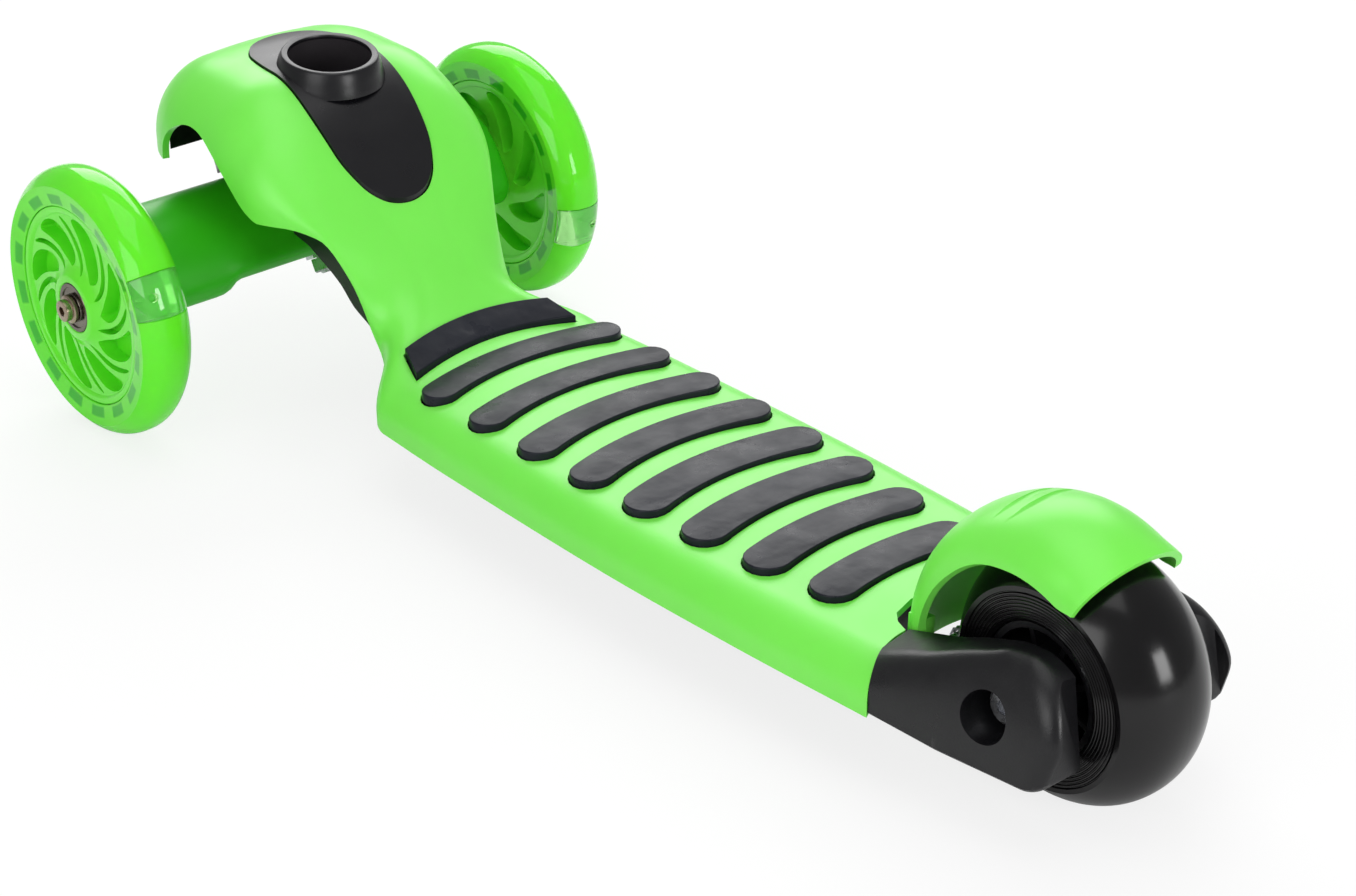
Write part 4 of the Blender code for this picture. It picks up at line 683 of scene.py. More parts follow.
def cover_row(y, inset, edge=None):
    """One cross-section of the cover's surface, from its left edge over the crest to its right edge."""
    low = lower_edge(y) if edge is None else edge
    if y < NOSE_START:
        reach = NOSE_REACH - (FRONT_AXLE_Y - NOSE_START)
        share = (NOSE_START - y) / reach
        scale = max(1 - share**NOSE_POWER, 0.0) ** (1 / NOSE_POWER)
        place = NOSE_START - share * (reach - inset)
        wide = (HOOD_HALF_WIDTH - inset) * scale
        high = mix(edge_height(y), HOOD_TOP - inset, scale)
        round_x = (shoulder_width(y) - inset) * scale
        round_z = (shoulder_height(y) - inset) * scale
    else:
        scale = 1.0
        place = y
        wide = half_width(y) - inset * math.hypot(1, slope(half_width, y))
        high = crest(y) - inset * math.hypot(1, slope(crest, y))
        round_x = shoulder_width(y) - inset
        round_z = min(shoulder_height(y), 0.8 * (crest(y) - edge_height(y))) - inset
    crown = COVER_CROWN * scale
    flat = wide - round_x
    shoulder = high - crown - round_z
    start = math.asin(min(max(low - shoulder, 0.0) / round_z, 1.0)) if round_z > 0 else math.pi / 2
    fine = [(wide, low)] if low < shoulder else []
    for i in range(4 * ROW_STEPS + 1):
        angle = mix(start, math.pi / 2, i / (4 * ROW_STEPS))
        fine.append((flat + round_x * math.cos(angle), shoulder + round_z * math.sin(angle)))
    half = evenly(fine, ROW_STEPS)
    for i in range(1, TOP_STEPS):
        share = 1 - i / TOP_STEPS
        half.append((flat * share, high - crown * share * share))
    left = [(x, place, z) for x, z in half]
    right = [(-x, place, z) for x, z in reversed(half)]
    return left + [(0.0, place, high)] + right


def shell(rows, outer_inset, inner_inset):
    """A closed sheet between two insets of the cover's surface, still open at its ends."""
    outer = [cover_row(y, outer_inset) for y in rows]
    inner = [cover_row(y, inner_inset) for y in rows]
    count = len(outer[0])
    points = [p for row in outer + inner for p in row]
    under = len(rows) * count
    faces = []
    for i in range(len(rows) - 1):
        for j in range(count - 1):
            a = i * count + j
            quad = (a, a + 1, a + count + 1, a + count)
            faces.append(quad)
            faces.append(tuple(under + v for v in reversed(quad)))
        for j in (0, count - 1):
            a = i * count + j
            faces.append((a, a + count, under + a + count, under + a))
    return points, faces, count, under


def cover_rows():
    scales = (
        0.10, 0.16, 0.22, 0.28, 0.34, 0.40, 0.46, 0.52, 0.58, 0.64, 0.70, 0.75, 0.80, 0.84, 0.88,
        0.915, 0.945,
    )
    reach = NOSE_REACH - (FRONT_AXLE_Y - NOSE_START)
    rows = [NOSE_START - reach * (1 - s**NOSE_POWER) ** (1 / NOSE_POWER) for s in scales]
    rows += [ARCH_MIDDLE - ARCH_FORE * math.cos(math.pi * i / 48) for i in range(25)]
    rows += [ARCH_MIDDLE + ARCH_REAR * i / 30 for i in range(1, 31)]
    rows += [front(0.0525 + 0.0020 * i) for i in range(51)]
    first, last = front(0.156), rear(-0.050)
    rows += [mix(first, last, i / 34) for i in range(35)]
    rows += [rear(-0.044)]
    return rows


def strip_place(index):
    """Middle of one grip strip, on the centre line."""
    if index == 0:
        return front(FIRST_STRIP_BACK)
    return front(SECOND_STRIP_BACK + STRIP_PITCH * (index - 1))


def strip_width(index):
    if index == 0:
        return FIRST_STRIP_WIDTH
    return mix(STRIP_NARROW, STRIP_WIDE, min((index - 1) / 4, 1.0))


def strip_half_length(index):
    return STRIP_HALF_LENGTH - STRIP_TAPER * (index / (STRIP_COUNT - 1)) ** 3.8


def strip_outline(index, grow=0.0, bend=20, tips=10):
    """Plan of a grip strip: a bowed bar with round ends, or slanting flat ends on the first one."""
    middle = strip_place(index)
    half = strip_width(index) / 2 + grow
    if index == 0:
        centre = middle + FIRST_STRIP_ARC_RADIUS
        inner, outer = FIRST_STRIP_ARC_RADIUS - half, FIRST_STRIP_ARC_RADIUS + half
        rear_angle = math.asin((FIRST_STRIP_REAR + grow) / inner)
        fore_angle = math.asin((FIRST_STRIP_FORE + grow) / outer)
        spread = [mix(-1, 1, i / bend) for i in range(bend + 1)]
        fore = [(outer * math.sin(fore_angle * s), centre - outer * math.cos(fore_angle * s)) for s in spread]
        back = [(inner * math.sin(rear_angle * s), centre - inner * math.cos(rear_angle * s)) for s in spread]
        return fore + back[::-1]
    centre = middle + STRIP_ARC_RADIUS
    inner, outer = STRIP_ARC_RADIUS - half, STRIP_ARC_RADIUS + half
    angle = math.asin((strip_half_length(index) - strip_width(index) / 2) / STRIP_ARC_RADIUS)
    outline = []
    for side, radius in ((1, outer), (-1, inner)):
        for i in range(bend + 1):
            a = side * mix(-angle, angle, i / bend)
            outline.append((radius * math.sin(a), centre - radius * math.cos(a)))
        tip = (STRIP_ARC_RADIUS * math.sin(side * angle), centre - STRIP_ARC_RADIUS * math.cos(side * angle))
        first = side * (angle - math.pi / 2) if side == 1 else math.pi / 2 - angle
        for i in range(1, tips):
            a = first + math.pi * i / tips
            outline.append((tip[0] + half * math.cos(a), tip[1] + half * math.sin(a)))
    return outline


def inset_outline(outline, distance):
    """A closed outline moved inwards by a distance at each corner."""
    area = sum(a[0] * b[1] - b[0] * a[1] for a, b in zip(outline, outline[1:] + outline[:1]))
    sign = 1 if area > 0 else -1
    moved = []
    for i, point in enumerate(outline):
        before = Vector(outline[i - 1])
        after = Vector(outline[(i + 1) % len(outline)])
        here = Vector(point)
        first = (here - before).normalized()
        second = (after - here).normalized()
        normals = [Vector((-d.y, d.x)) * sign for d in (first, second)]
        bisector = (normals[0] + normals[1]).normalized()
        moved.append(tuple(here + bisector * distance / max(bisector.dot(normals[0]), 0.5)))
    return moved


def add_grip_strips():
    """Nine rubber strips with rounded shoulders, each standing a little proud of its slot."""
    for index in range(STRIP_COUNT):
        outline = strip_outline(index)
        rings = [[(x, y, crest(y) + (STRIP_FOOT - COVER_WALL)) for x, y in outline]]
        for i in range(5):
            angle = math.pi / 2 * i / 4
            inset = STRIP_CHAMFER * (1 - math.cos(angle))
            high = STRIP_HEIGHT - STRIP_CHAMFER * (1 - math.sin(angle))
            rings.append([(x, y, crest(y) + high) for x, y in inset_outline(outline, inset)])
        name = f"grip_strip_{index + 1}"
        settle(mesh_object("rubber_" + name, loft(rings), RUBBER), "deck", name, smooth=60)


def trim_outline(grow=0.0, count=72):
    """Plan of the socket's teardrop plate."""
    plan = (
        (-0.0215, 0.0), (-0.0195, 0.0095), (-0.0145, 0.0165), (-0.0040, 0.0225), (0.0150, 0.0248),
        (0.0400, 0.0255), (0.0580, 0.0238), (0.0690, 0.0188), (0.0755, 0.0112), (0.0780, 0.0),
    )
    square = smooth_curve([(front(back), wide * wide) for back, wide in plan])
    first, last = front(plan[0][0]), front(plan[-1][0])
    places = [mix(first, last, (1 - math.cos(math.pi * i / count)) / 2) for i in range(count + 1)]
    right = [(math.sqrt(max(square(y), 0.0)), y) for y in places]
    left = [(-wide, y) for wide, y in reversed(right[1:-1])]
    return inset_outline(right + left, -grow) if grow else right + left


def tail_outline():
    """Plan of everything behind the cover's rear edge, with its notch ahead of the fender."""
    side = 0.090
    far = rear(0.120)
    points = [(side, rear(COVER_END_SIDE)), (side, far), (-side, far), (-side, rear(COVER_END_SIDE))]
    half = []
    for i in range(17):
        share = i / 16
        x = mix(TAIL_HALF_WIDTH + 0.002, FORK_GAP_HALF + 0.0015, share)
        half.append((-x, rear(mix(COVER_END_SIDE, COVER_END_FORE, math.sin(share * math.pi / 2)))))
    half += [(-x, rear(y)) for x, y in ((0.0275, -0.0650), (0.0238, -0.0695), (0.0135, -0.0728))]
    return points + half + [(0.0, rear(-0.0740))] + [(-x, y) for x, y in reversed(half)]


def merged(shapes):
    """Several separate shapes as one list of points and faces, for one Boolean."""
    points = []
    faces = []
    for more_points, more_faces in shapes:
        start = len(points)
        points += more_points
        faces += [tuple(start + v for v in face) for face in more_faces]
    return points, faces


def add_cover():
    rows = cover_rows()
    points, faces, count, under = shell(rows, 0.0, COVER_WALL)
    last = (len(rows) - 1) * count
    for j in range(count - 1):
        faces.append((last + j, last + j + 1, under + last + j + 1, under + last + j))
    faces.append(tuple(range(count)))
    faces.append(tuple(under + v for v in range(count)))
    faces.append((0, count - 1, under + count - 1, under))
    cover = mesh_object("green_cover", (points, faces), GREEN)
    low, high = DECK_TOP - 0.012, DECK_TOP + 0.020
    slots = [prism(strip_outline(i, SLOT_CLEARANCE), low, high) for i in range(STRIP_COUNT)]
    cut(cover, "slots", merged(slots))
    cut(cover, "trim_opening", prism(trim_outline(GAP + 0.0001), SLEEVE_FOOT / 2, BEYOND))
    cut(cover, "cover_tail", prism(tail_outline(), 0.0, BEYOND))
    settle(cover, "deck", "deck_cover", edge=0.0006, smooth=42, segments=3, angle=48)


def add_trim():
    """The plate round the column socket, flowing up to a plain rim."""
    first, last = front(-0.0250), front(0.0820)
    rows = [mix(first, last, i / 60) for i in range(61)]
    points, faces, count, under = shell(rows, -TRIM_PROUD, COVER_WALL - 0.0004)
    for row in (0, len(rows) - 1):
        for j in range(count - 1):
            a = row * count + j
            faces.append((a, a + 1, under + a + 1, under + a))
    trim = mesh_object("black_trim", (points, faces), TRIM_BLACK)
    boolean(trim, "INTERSECT", "trim_plan", prism(trim_outline(-0.0001), SLEEVE_FOOT - 0.020, BEYOND))
    outer = SLEEVE_RADIUS + 0.0010
    rise = SOCKET_RISE
    collar = turned([
        (-rise - 0.0065, outer - 0.0032), (-rise - 0.0065, outer + 0.0034), (-rise - 0.0035, outer + 0.0026),
        (-rise - 0.0012, outer + 0.0017), (-rise / 2, outer + 0.0008), (-0.0014, outer + 0.0003),
        (-0.0006, outer), (-0.0001, outer - 0.0005), (0.0, outer - 0.0012), (-0.0003, outer - 0.0029),
        (-0.0010, outer - 0.0032),
    ], ROUND, "Z")
    join(trim, "trim_collar", collar, SOCKET_FRAME)
    bore = turned([
        (-0.030, 0), (-0.030, SLEEVE_RADIUS + GAP), (-SOCKET_LEDGE, SLEEVE_RADIUS + GAP),
        (-SOCKET_LEDGE, SOCKET_BORE), (0.020, SOCKET_BORE), (0.020, 0),
    ], ROUND, "Z")
    cut(trim, "trim_bore", bore, SOCKET_FRAME)
    settle(trim, "deck", "socket_trim", edge=0.0005, segments=3, angle=50)


def add_sleeve():
    top = -SOCKET_LEDGE - GAP
    floor = -SLEEVE_DEPTH + SLEEVE_FLOOR
    profile = [
        (-SLEEVE_DEPTH, 0), (-SLEEVE_DEPTH, SLEEVE_RADIUS), (top, SLEEVE_RADIUS), (top, SOCKET_BORE),
        (floor, SOCKET_BORE), (floor, 0),
    ]
    sleeve = mesh_object("black_sleeve", turned(profile, ROUND, "Z"), LINING, SOCKET_FRAME)
    inner, outer = SOCKET_BORE / 2, SOCKET_BORE + KEY_DEPTH
    key = [(-KEY_HALF, inner), (KEY_HALF, inner), (KEY_HALF, outer), (-KEY_HALF, outer)]
    cut(sleeve, "keyway", prism(key, KEY_FOOT - SLEEVE_DEPTH, 0.0100), SOCKET_FRAME)
    settle(sleeve, "deck", "column_sleeve")


def core_row(y, edge, limit, ceiling):
    """A cross-section of the black moulding that fills the cover, held inside a width and a height."""
    row = cover_row(y, COVER_WALL + CORE_GAP, edge)
    return [(min(max(x, -limit), limit), place, min(z, ceiling)) for x, place, z in row]


core_edge = smooth_curve([
    (front(0.047), 0.0780),
    (front(0.069), 0.0680),
    (front(0.079), 0.0600),
    (front(0.090), 0.0550),
    (front(0.1228), DECK_EDGE + 0.0006),
])
core_limit = smooth_curve([(front(0.100), NECK_HALF_WIDTH), (front(0.128), 0.062)])


def kingpin_point(distance, ahead=0.0):
    place = KINGPIN_FRAME @ Vector((0, -ahead, distance))
    return place.y, place.z


def cover_end(x):
    share = (TAIL_HALF_WIDTH + 0.002 - abs(x)) / (TAIL_HALF_WIDTH + 0.0005 - FORK_GAP_HALF)
    return rear(mix(COVER_END_SIDE, COVER_END_FORE, math.sin(min(max(share, 0), 1) * math.pi / 2)))


rear_end = smooth_curve([
    (FORK_FOOT, rear(FORK_END - 0.0020)),
    (mix(FORK_FOOT, FORK_END_TOP, 0.22), rear(FORK_END + 0.0012)),
    (mix(FORK_FOOT, FORK_END_TOP, 0.46), rear(FORK_END + 0.0038)),
    (mix(FORK_FOOT, FORK_END_TOP, 0.64), rear(FORK_END + 0.0018)),
    (mix(FORK_FOOT, FORK_END_TOP, 0.87), rear(FORK_END - 0.0045)),
    (FORK_END_TOP, rear(FORK_END - 0.0115)),
])
fork_foot = smooth_curve([(rear(-0.050), DECK_EDGE), (rear(-0.020), FORK_FOOT)])


def fork_ring(side, low_place, outer, top, middle, height, share, shrink=0.0, start=False):
    """One cross-section of a fork arm: a flat inner face and a rounded outer shoulder."""
    foot = fork_foot(low_place) + shrink
    ring = [(FORK_GAP_HALF, foot), (outer - shrink - 0.0020, foot), (outer - shrink, foot + 0.0020)]
    wide = outer - shrink - middle
    for i in range(25):
        angle = math.pi / 2 * i / 24
        ring.append((middle + wide * math.cos(angle), height + (top - shrink - height) * math.sin(angle)))
    ring.append((FORK_GAP_HALF, top - shrink - 0.0004))
    points = []
    for x, z in ring:
        place = low_place + share * (rear_end(z) - rear(FORK_END))
        points.append((side * x, cover_end(x) + GAP + 0.0001 if start else place, z))
    return points


def fork_arm(side):
    top = smooth_curve([
        (rear(-0.059), DECK_TOP + 0.0002),
        (rear(-0.036), mix(DECK_TOP, FORK_END_TOP, 0.33)),
        (rear(-0.013), mix(DECK_TOP, FORK_END_TOP, 0.76)),
        (rear(0.005), mix(DECK_TOP, FORK_END_TOP, 0.95)),
        (rear(0.020), FORK_END_TOP),
    ])
    outer = smooth_curve([
        (rear(-0.050), TAIL_HALF_WIDTH - FORK_INSET),
        (rear(-0.020), mix(TAIL_HALF_WIDTH, FORK_END_HALF_WIDTH, 0.42)),
        (rear(FORK_END), FORK_END_HALF_WIDTH),
    ])
    first = rear(-0.050)
    rings = [fork_ring(side, first, outer(first), DECK_TOP - 0.0003, 0.044, 0.037, 0, start=True)]
    for i in range(26):
        back = mix(-0.042, FORK_END - 0.0080, i / 25)
        y = rear(back)
        share = ease((back + 0.050) / 0.075)
        slant = ease((back + 0.020) / 0.040)
        middle = mix(0.044, 0.033, share)
        rings.append(fork_ring(side, y, outer(y), top(y), middle, mix(0.037, 0.033, share), slant))
    for i in range(1, 11):
        angle = math.pi / 2 * i / 10
        y = rear(FORK_END - 0.0078 * (1 - math.sin(angle)))
        rings.append(fork_ring(side, y, outer(y), top(y), 0.033, 0.033, 1.0, 0.0046 * (1 - math.cos(angle))))
    return loft(rings)


SCREW_PLACES = [
    Matrix.Translation((side * SCREW_X, front(
        SECOND_STRIP_BACK + SCREW_X**2 / 2 / STRIP_ARC_RADIUS + (row - 0.5) * STRIP_PITCH
    ), 0.0))
    for row in SCREW_ROWS
    for side in (1, -1)
]


def tray_cutters():
    """The gap for the rear wheel and the pockets under the tray."""
    notch = [(FORK_GAP_HALF, rear(0.060)), (-FORK_GAP_HALF, rear(0.060))]
    corner = ((FORK_GAP_HALF, -0.0655), (0.0245, -0.0708), (0.0135, -0.0744))
    notch += [(-x, rear(y)) for x, y in corner]
    notch += [(x, rear(y)) for x, y in reversed(corner)]
    pockets = []
    for row in range(4):
        low = front(POCKET_FIRST) + row * POCKET_PITCH
        high = low + POCKET_LENGTH
        for left, right in ((-0.0505, -0.0190), (-0.0150, 0.0150), (0.0190, 0.0505)):
            pockets.append(prism([(left, low), (right, low), (right, high), (left, high)], 0.0, 0.0440))
    return prism(notch, 0.0, BEYOND), merged(pockets)


def add_chassis():
    """The black moulding: head for the kingpin and the column, neck, ribbed tray and the two fork arms."""
    head_low, head_high = kingpin_point(PIVOT_FACE, 0.0205), kingpin_point(PIVOT_FACE, -0.0150)
    face = kingpin_point(PIVOT_FACE)[1]
    nose = HOOD_EDGE + NOSE_DROP
    top = CORE_CEILING
    rings = [core_row(*row) for row in (
        (front(-0.0520), nose + 0.0014, HOOD_HALF_WIDTH, top - 0.004),
        (front(-0.0500), nose + 0.0007, HOOD_HALF_WIDTH, top - 0.001),
        (front(-0.0470), nose, HOOD_HALF_WIDTH, top),
        (front(-0.0445), nose, HOOD_HALF_WIDTH, top),
        (front(-0.0430), HOOD_EDGE + NOSE_LIFT, HEAD_HALF_WIDTH - 0.002, top),
        (front(-0.0360), 0.0890, HEAD_HALF_WIDTH - 0.003, top),
        (front(-0.0330), head_low[1] + 0.0012, HEAD_HALF_WIDTH - 0.002, top - 0.002),
        (front(-0.0290), face - 0.0070, HEAD_HALF_WIDTH, top),
        (front(-0.0140), face, HEAD_HALF_WIDTH, top),
        (head_high[0], head_high[1], HEAD_HALF_WIDTH, top),
        (front(0.0050), head_high[1], HEAD_HALF_WIDTH, top),
        (front(0.0300), head_high[1] - 0.0030, HEAD_HALF_WIDTH, top),
        (front(0.0345), 0.0880, NECK_HALF_WIDTH, top),
        (front(0.0360), 0.0800, NECK_HALF_WIDTH, top),
    )]
    for i in range(40):
        y = front(mix(0.047, 0.160, i / 39))
        rings.append(core_row(y, core_edge(y), core_limit(y), top))
    for i in range(12):
        y = mix(front(0.175), rear(-0.0465), i / 11)
        rings.append(core_row(y, DECK_EDGE + 0.0006, 0.080, top))
    chassis = mesh_object("black_chassis", loft(rings), NYLON)
    join(chassis, "fork_arms", merged([fork_arm(1), fork_arm(-1)]))
    wheel_gap, pockets = tray_cutters()
    cut(chassis, "wheel_gap", wheel_gap)
    cut(chassis, "tray_pockets", pockets)
    post = rod(0.0072, DECK_EDGE + 0.0030, 0.0455, 32, "Z")
    hole = turned([
        (0.0, 0), (0.0, 0.0042), (SCREW_SEAT - 0.0020, 0.0042), (SCREW_SEAT - 0.0020, 0.0022),
        (SCREW_SEAT, 0.0022), (SCREW_SEAT, 0.0050), (0.070, 0.0050), (0.070, 0),
    ], 32, "Z", 0.11)
    join(chassis, "screw_posts", merged([placed(post, place) for place in SCREW_PLACES]))
    cut(chassis, "screw_holes", merged([placed(hole, place) for place in SCREW_PLACES]))
    socket = turned([
        (-SLEEVE_DEPTH - GAP, 0), (-SLEEVE_DEPTH - GAP, SLEEVE_RADIUS + GAP),
        (0.020, SLEEVE_RADIUS + GAP), (0.020, 0),
    ], ROUND, "Z")
    cut(chassis, "sleeve_seat", socket, SOCKET_FRAME)
    pivot = turned([
        (-0.020, 0), (-0.020, KINGPIN_RADIUS + 0.0001), (PIVOT_HEAD - GAP, KINGPIN_RADIUS + 0.0001),
        (PIVOT_HEAD - GAP, 0.0082), (0.100, 0.0082), (0.100, 0),
    ], SMALL_ROUND, "Z")
    cut(chassis, "kingpin_hole", pivot, KINGPIN_FRAME)
    half, floor, radius = 0.070, AXLE_RECESS_FLOOR, AXLE_RECESS_RADIUS
    axle = turned([
        (-half, 0), (-half, radius), (-floor, radius), (-floor, 0.0041), (floor, 0.0041), (floor, radius),
        (half, radius), (half, 0),
    ], BORE_ROUND)
    cut(chassis, "axle_hole", axle, REAR_AXLE_FRAME)
    cut(chassis, "brake_pin_hole", rod(FENDER_PIN_RADIUS + 0.0001, -0.080, 0.0380, 32), FENDER_PIN_FRAME)
    settle(chassis, "deck", "chassis", edge=0.0007, smooth=38, segments=3, angle=45)


BEAM_SECTION = (
    (0.021, -0.003), (0.022, 0.003), (0.017, 0.014), (0.008, 0.025), (-0.002, 0.030), (-0.014, 0.0305),
    (-0.024, 0.025), (-0.029, 0.014), (-0.029, 0.002), (-0.024, -0.008), (-0.010, -0.012), (0.008, -0.011),
    (0.017, -0.008),
)


def rounded_loop(corners, steps=5):
    """A closed loop of points that flows through the corners."""
    loop = []
    size = len(corners)
    for i in range(size):
        a, b, c, d = (Vector(corners[(i + k) % size]) for k in (-1, 0, 1, 2))
        for j in range(steps):
            t = j / steps
            square = (2 * a - 5 * b + 4 * c - d) * t**2
            cube = (3 * b - a - 3 * c + d) * t**3
            loop.append(tuple(0.5 * (2 * b + (c - a) * t + square + cube)))
    return loop


def beam_ring(x, lift, shrink=0.0):
    ring = []
    for back, up in rounded_loop(BEAM_SECTION):
        share = min(max((0.010 - up) / 0.020, 0.0), 1.0)
        back = mix(back, -0.004, shrink)
        up = mix(up + lift * share, 0.010, shrink)
        ring.append((x, front(back), FRONT_TYRE_RADIUS + up))
    return ring


def add_axle_beam():
    lift = smooth_curve([(0.0500, 0.0055), (0.0530, 0.0045), (0.0570, 0.0008), (0.0600, 0.0)])
    stations = [(BEAM_END - 0.0016 * (1 - math.sin(a)), 0.0, 0.08 * (1 - math.cos(a)))
                for a in (math.pi / 2, math.pi / 3, math.pi / 6, 0.0)]
    stations += [(x, lift(x), 0.0) for x in [mix(BEAM_END - 0.0040, 0.0200, i / 24) for i in range(25)]]
    rings = [beam_ring(-x, up, shrink) for x, up, shrink in stations]
    rings += [beam_ring(x, up, shrink) for x, up, shrink in reversed(stations)]
    # The beam wears the green darkened as painted shade, for the hood's shadow over it
    beam = mesh_object("green_beam", loft(rings), BEAM_PAINTED_SHADE_GREEN)
    head = BOSS_HEAD + 0.0010
    foot = BOSS_FOOT + 0.0005
    profile = [(BOSS_FOOT, 0), (BOSS_FOOT, 0.0155), (0.0200, 0.0165), (head, 0.0160), (head, 0)]
    boss = turned(profile, ROUND, "Z")
    join(beam, "kingpin_boss", boss, KINGPIN_FRAME)
    bore = turned([
        (-0.060, 0), (-0.060, 0.0130), (foot, 0.0130), (foot, 0.0075), (-0.0060, 0.0075), (-0.0060, 0.0060),
        (0.0140, 0.0060), (0.0140, 0.0075), (BOSS_HEAD, 0.0075), (BOSS_HEAD, 0.0145), (0.060, 0.0145),
        (0.060, 0),
    ], BORE_ROUND, "Z")
    cut(beam, "kingpin_bore", bore, KINGPIN_FRAME)
    bolts = [rod(BEARING_BORE + 0.0001, side * 0.0560, side * 0.1200) for side in (1, -1)]
    cut(beam, "axle_bolt_holes", merged(bolts), FRONT_AXLE_FRAME)
    settle(beam, "front_axle", "axle_beam")


def tread(radius, half, drop, power, steps):
    """The tyre's outer curve, from its left side face to its right one."""
    places = [half * math.cos(math.pi * i / steps) for i in range(steps + 1)]
    return [(x, radius - drop * abs(x / half) ** power) for x in places]


def swirl(radius):
    share = max((radius - 0.013) / 0.027, 0.0)
    return SWIRL_TURN * share**1.25


def swirl_band(middle, radii, halves):
    """Plan of one swirling opening: its middle line and its half-width at each radius."""
    one = []
    other = []
    for radius, half in zip(radii, halves):
        angle = swirl(radius) + middle
        spread = half / radius
        one.append((radius * math.cos(angle - spread), radius * math.sin(angle - spread)))
        other.append((radius * math.cos(angle + spread), radius * math.sin(angle + spread)))
    return one + other[::-1]


def facing(outline, low, high):
    """An outline in the plane of a wheel, Y to the rear and Z up, drawn along X."""
    return loft([[(x, a, b) for a, b in outline] for x in (low, high)])


def capsule_widths(curve, first, last, steps=16):
    """Radii and half-widths of a swirl with rounded ends."""
    radii = []
    halves = []
    for i in range(steps + 1):
        share = (1 - math.cos(math.pi * i / steps)) / 2
        radius = mix(first, last, share)
        halves.append(curve(radius) * max(1 - abs(2 * share - 1) ** 7, 0.02) ** 0.5)
        radii.append(radius)
    return radii, halves


def wheel_swirls(side):
    """Swirling pockets on both faces of a hub, and on its outer face a narrow slot between each pair."""
    wide = smooth_curve([(0.0185, 0.0018), (0.0235, 0.0050), (0.0320, 0.0072), (0.0405, 0.0083)])
    narrow = smooth_curve([(0.0170, 0.0008), (0.0280, 0.0018), (0.0398, 0.0017)])
    pocket = swirl_band(0.0, *capsule_widths(wide, 0.0185, SWIRL_OUTER + 0.0002))
    slot = swirl_band(math.pi / SWIRL_COUNT, *capsule_widths(narrow, 0.0170, 0.0396))
    shapes = []
    for outline, low, high in (
        (pocket, WEB_HALF, CUT_HALF),
        (pocket, -CUT_HALF, -WEB_HALF),
        (slot, side * (WEB_HALF + 0.0030), side * CUT_HALF),
    ):
        for index in range(SWIRL_COUNT):
            turn = Matrix.Rotation(2 * math.pi * index / SWIRL_COUNT, 2)
            turned_outline = [tuple(turn @ Vector(p)) for p in outline]
            shapes.append(facing(turned_outline, *sorted((low, high))))
    return merged(shapes)


def window_shapes():
    """The openings through the flange, round which the tyre is moulded."""
    shapes = []
    for index in range(WINDOW_COUNT):
        middle = 2 * math.pi * (index + 0.5) / WINDOW_COUNT
        spread = WINDOW_HALF_LENGTH / WINDOW_MIDDLE
        plan = []
        for out, way in ((-WINDOW_HALF_HEIGHT, 1), (WINDOW_HALF_HEIGHT, -1)):
            for i in range(7):
                radius = WINDOW_MIDDLE + out
                angle = middle + way * mix(-spread, spread, i / 6)
                plan.append((radius * math.cos(angle), radius * math.sin(angle)))
        shapes.append(facing(plan, -CUT_HALF, CUT_HALF))
    return merged(shapes)


def light_wedge(middle):
    """The wedge that the light insert takes out of the tyre, drawn across its tread."""
    spread = LIGHT_HALF + GAP / 2 / FRONT_TYRE_RADIUS
    outline = []
    for radius, side in ((LIGHT_FLOOR, -1), (OUT_OF_TYRE, -1), (OUT_OF_TYRE, 1), (LIGHT_FLOOR, 1)):
        angle = middle + side * spread
        outline.append((radius * math.cos(angle), radius * math.sin(angle)))
    return facing(outline, -CUT_HALF, CUT_HALF)


def front_tread():
    return tread(FRONT_TYRE_RADIUS, FRONT_TYRE_WIDTH / 2, TREAD_DROP, TREAD_POWER, 28)


def front_tyre_profile():
    half = FRONT_TYRE_WIDTH / 2
    inner = HUB_RING_OUTER + GAP
    outer = FLANGE_OUTER + GAP
    side = FLANGE_HALF + GAP
    return front_tread() + [
        (-half + 0.0006, 0.0490), (-half + 0.0016, inner), (-side, inner), (-side, outer), (side, outer),
        (side, inner), (half - 0.0016, inner), (half - 0.0006, 0.0490),
    ]


def hub_profile(outline, seat):
    """One side of a hub, mirrored, and closed through the seats of its bearings."""
    fit = BEARING_SEAT_RADIUS
    bore = [(-seat, fit), (-seat, HUB_BORE), (seat, HUB_BORE), (seat, fit)]
    return outline + [(-x, r) for x, r in reversed(outline)] + bore


def add_bearing(stem, body, inner_face, width, centre):
    """A ball bearing between its inner and outer face, with a recessed shield on the outer one."""
    bore = BEARING_BORE + AXLE_CLEARANCE
    outer_face = inner_face + width
    sign = math.copysign(1.0, -width)
    profile = [
        (outer_face + sign * 0.0002, bore), (outer_face, bore + 0.0002), (outer_face, 0.0061),
        (outer_face + sign * 0.0002, 0.0063), (outer_face + sign * 0.0006, 0.0064),
        (outer_face + sign * 0.0006, 0.0089), (outer_face + sign * 0.0002, 0.0090), (outer_face, 0.0092),
        (outer_face, BEARING_RADIUS - 0.0003), (outer_face + sign * 0.0003, BEARING_RADIUS),
        (inner_face, BEARING_RADIUS), (inner_face, bore),
    ]
    made = mesh_object(stem + "_race", turned(profile, BORE_ROUND), RACE, centre)
    settle(made, body, stem + "_bearing", smooth=30)


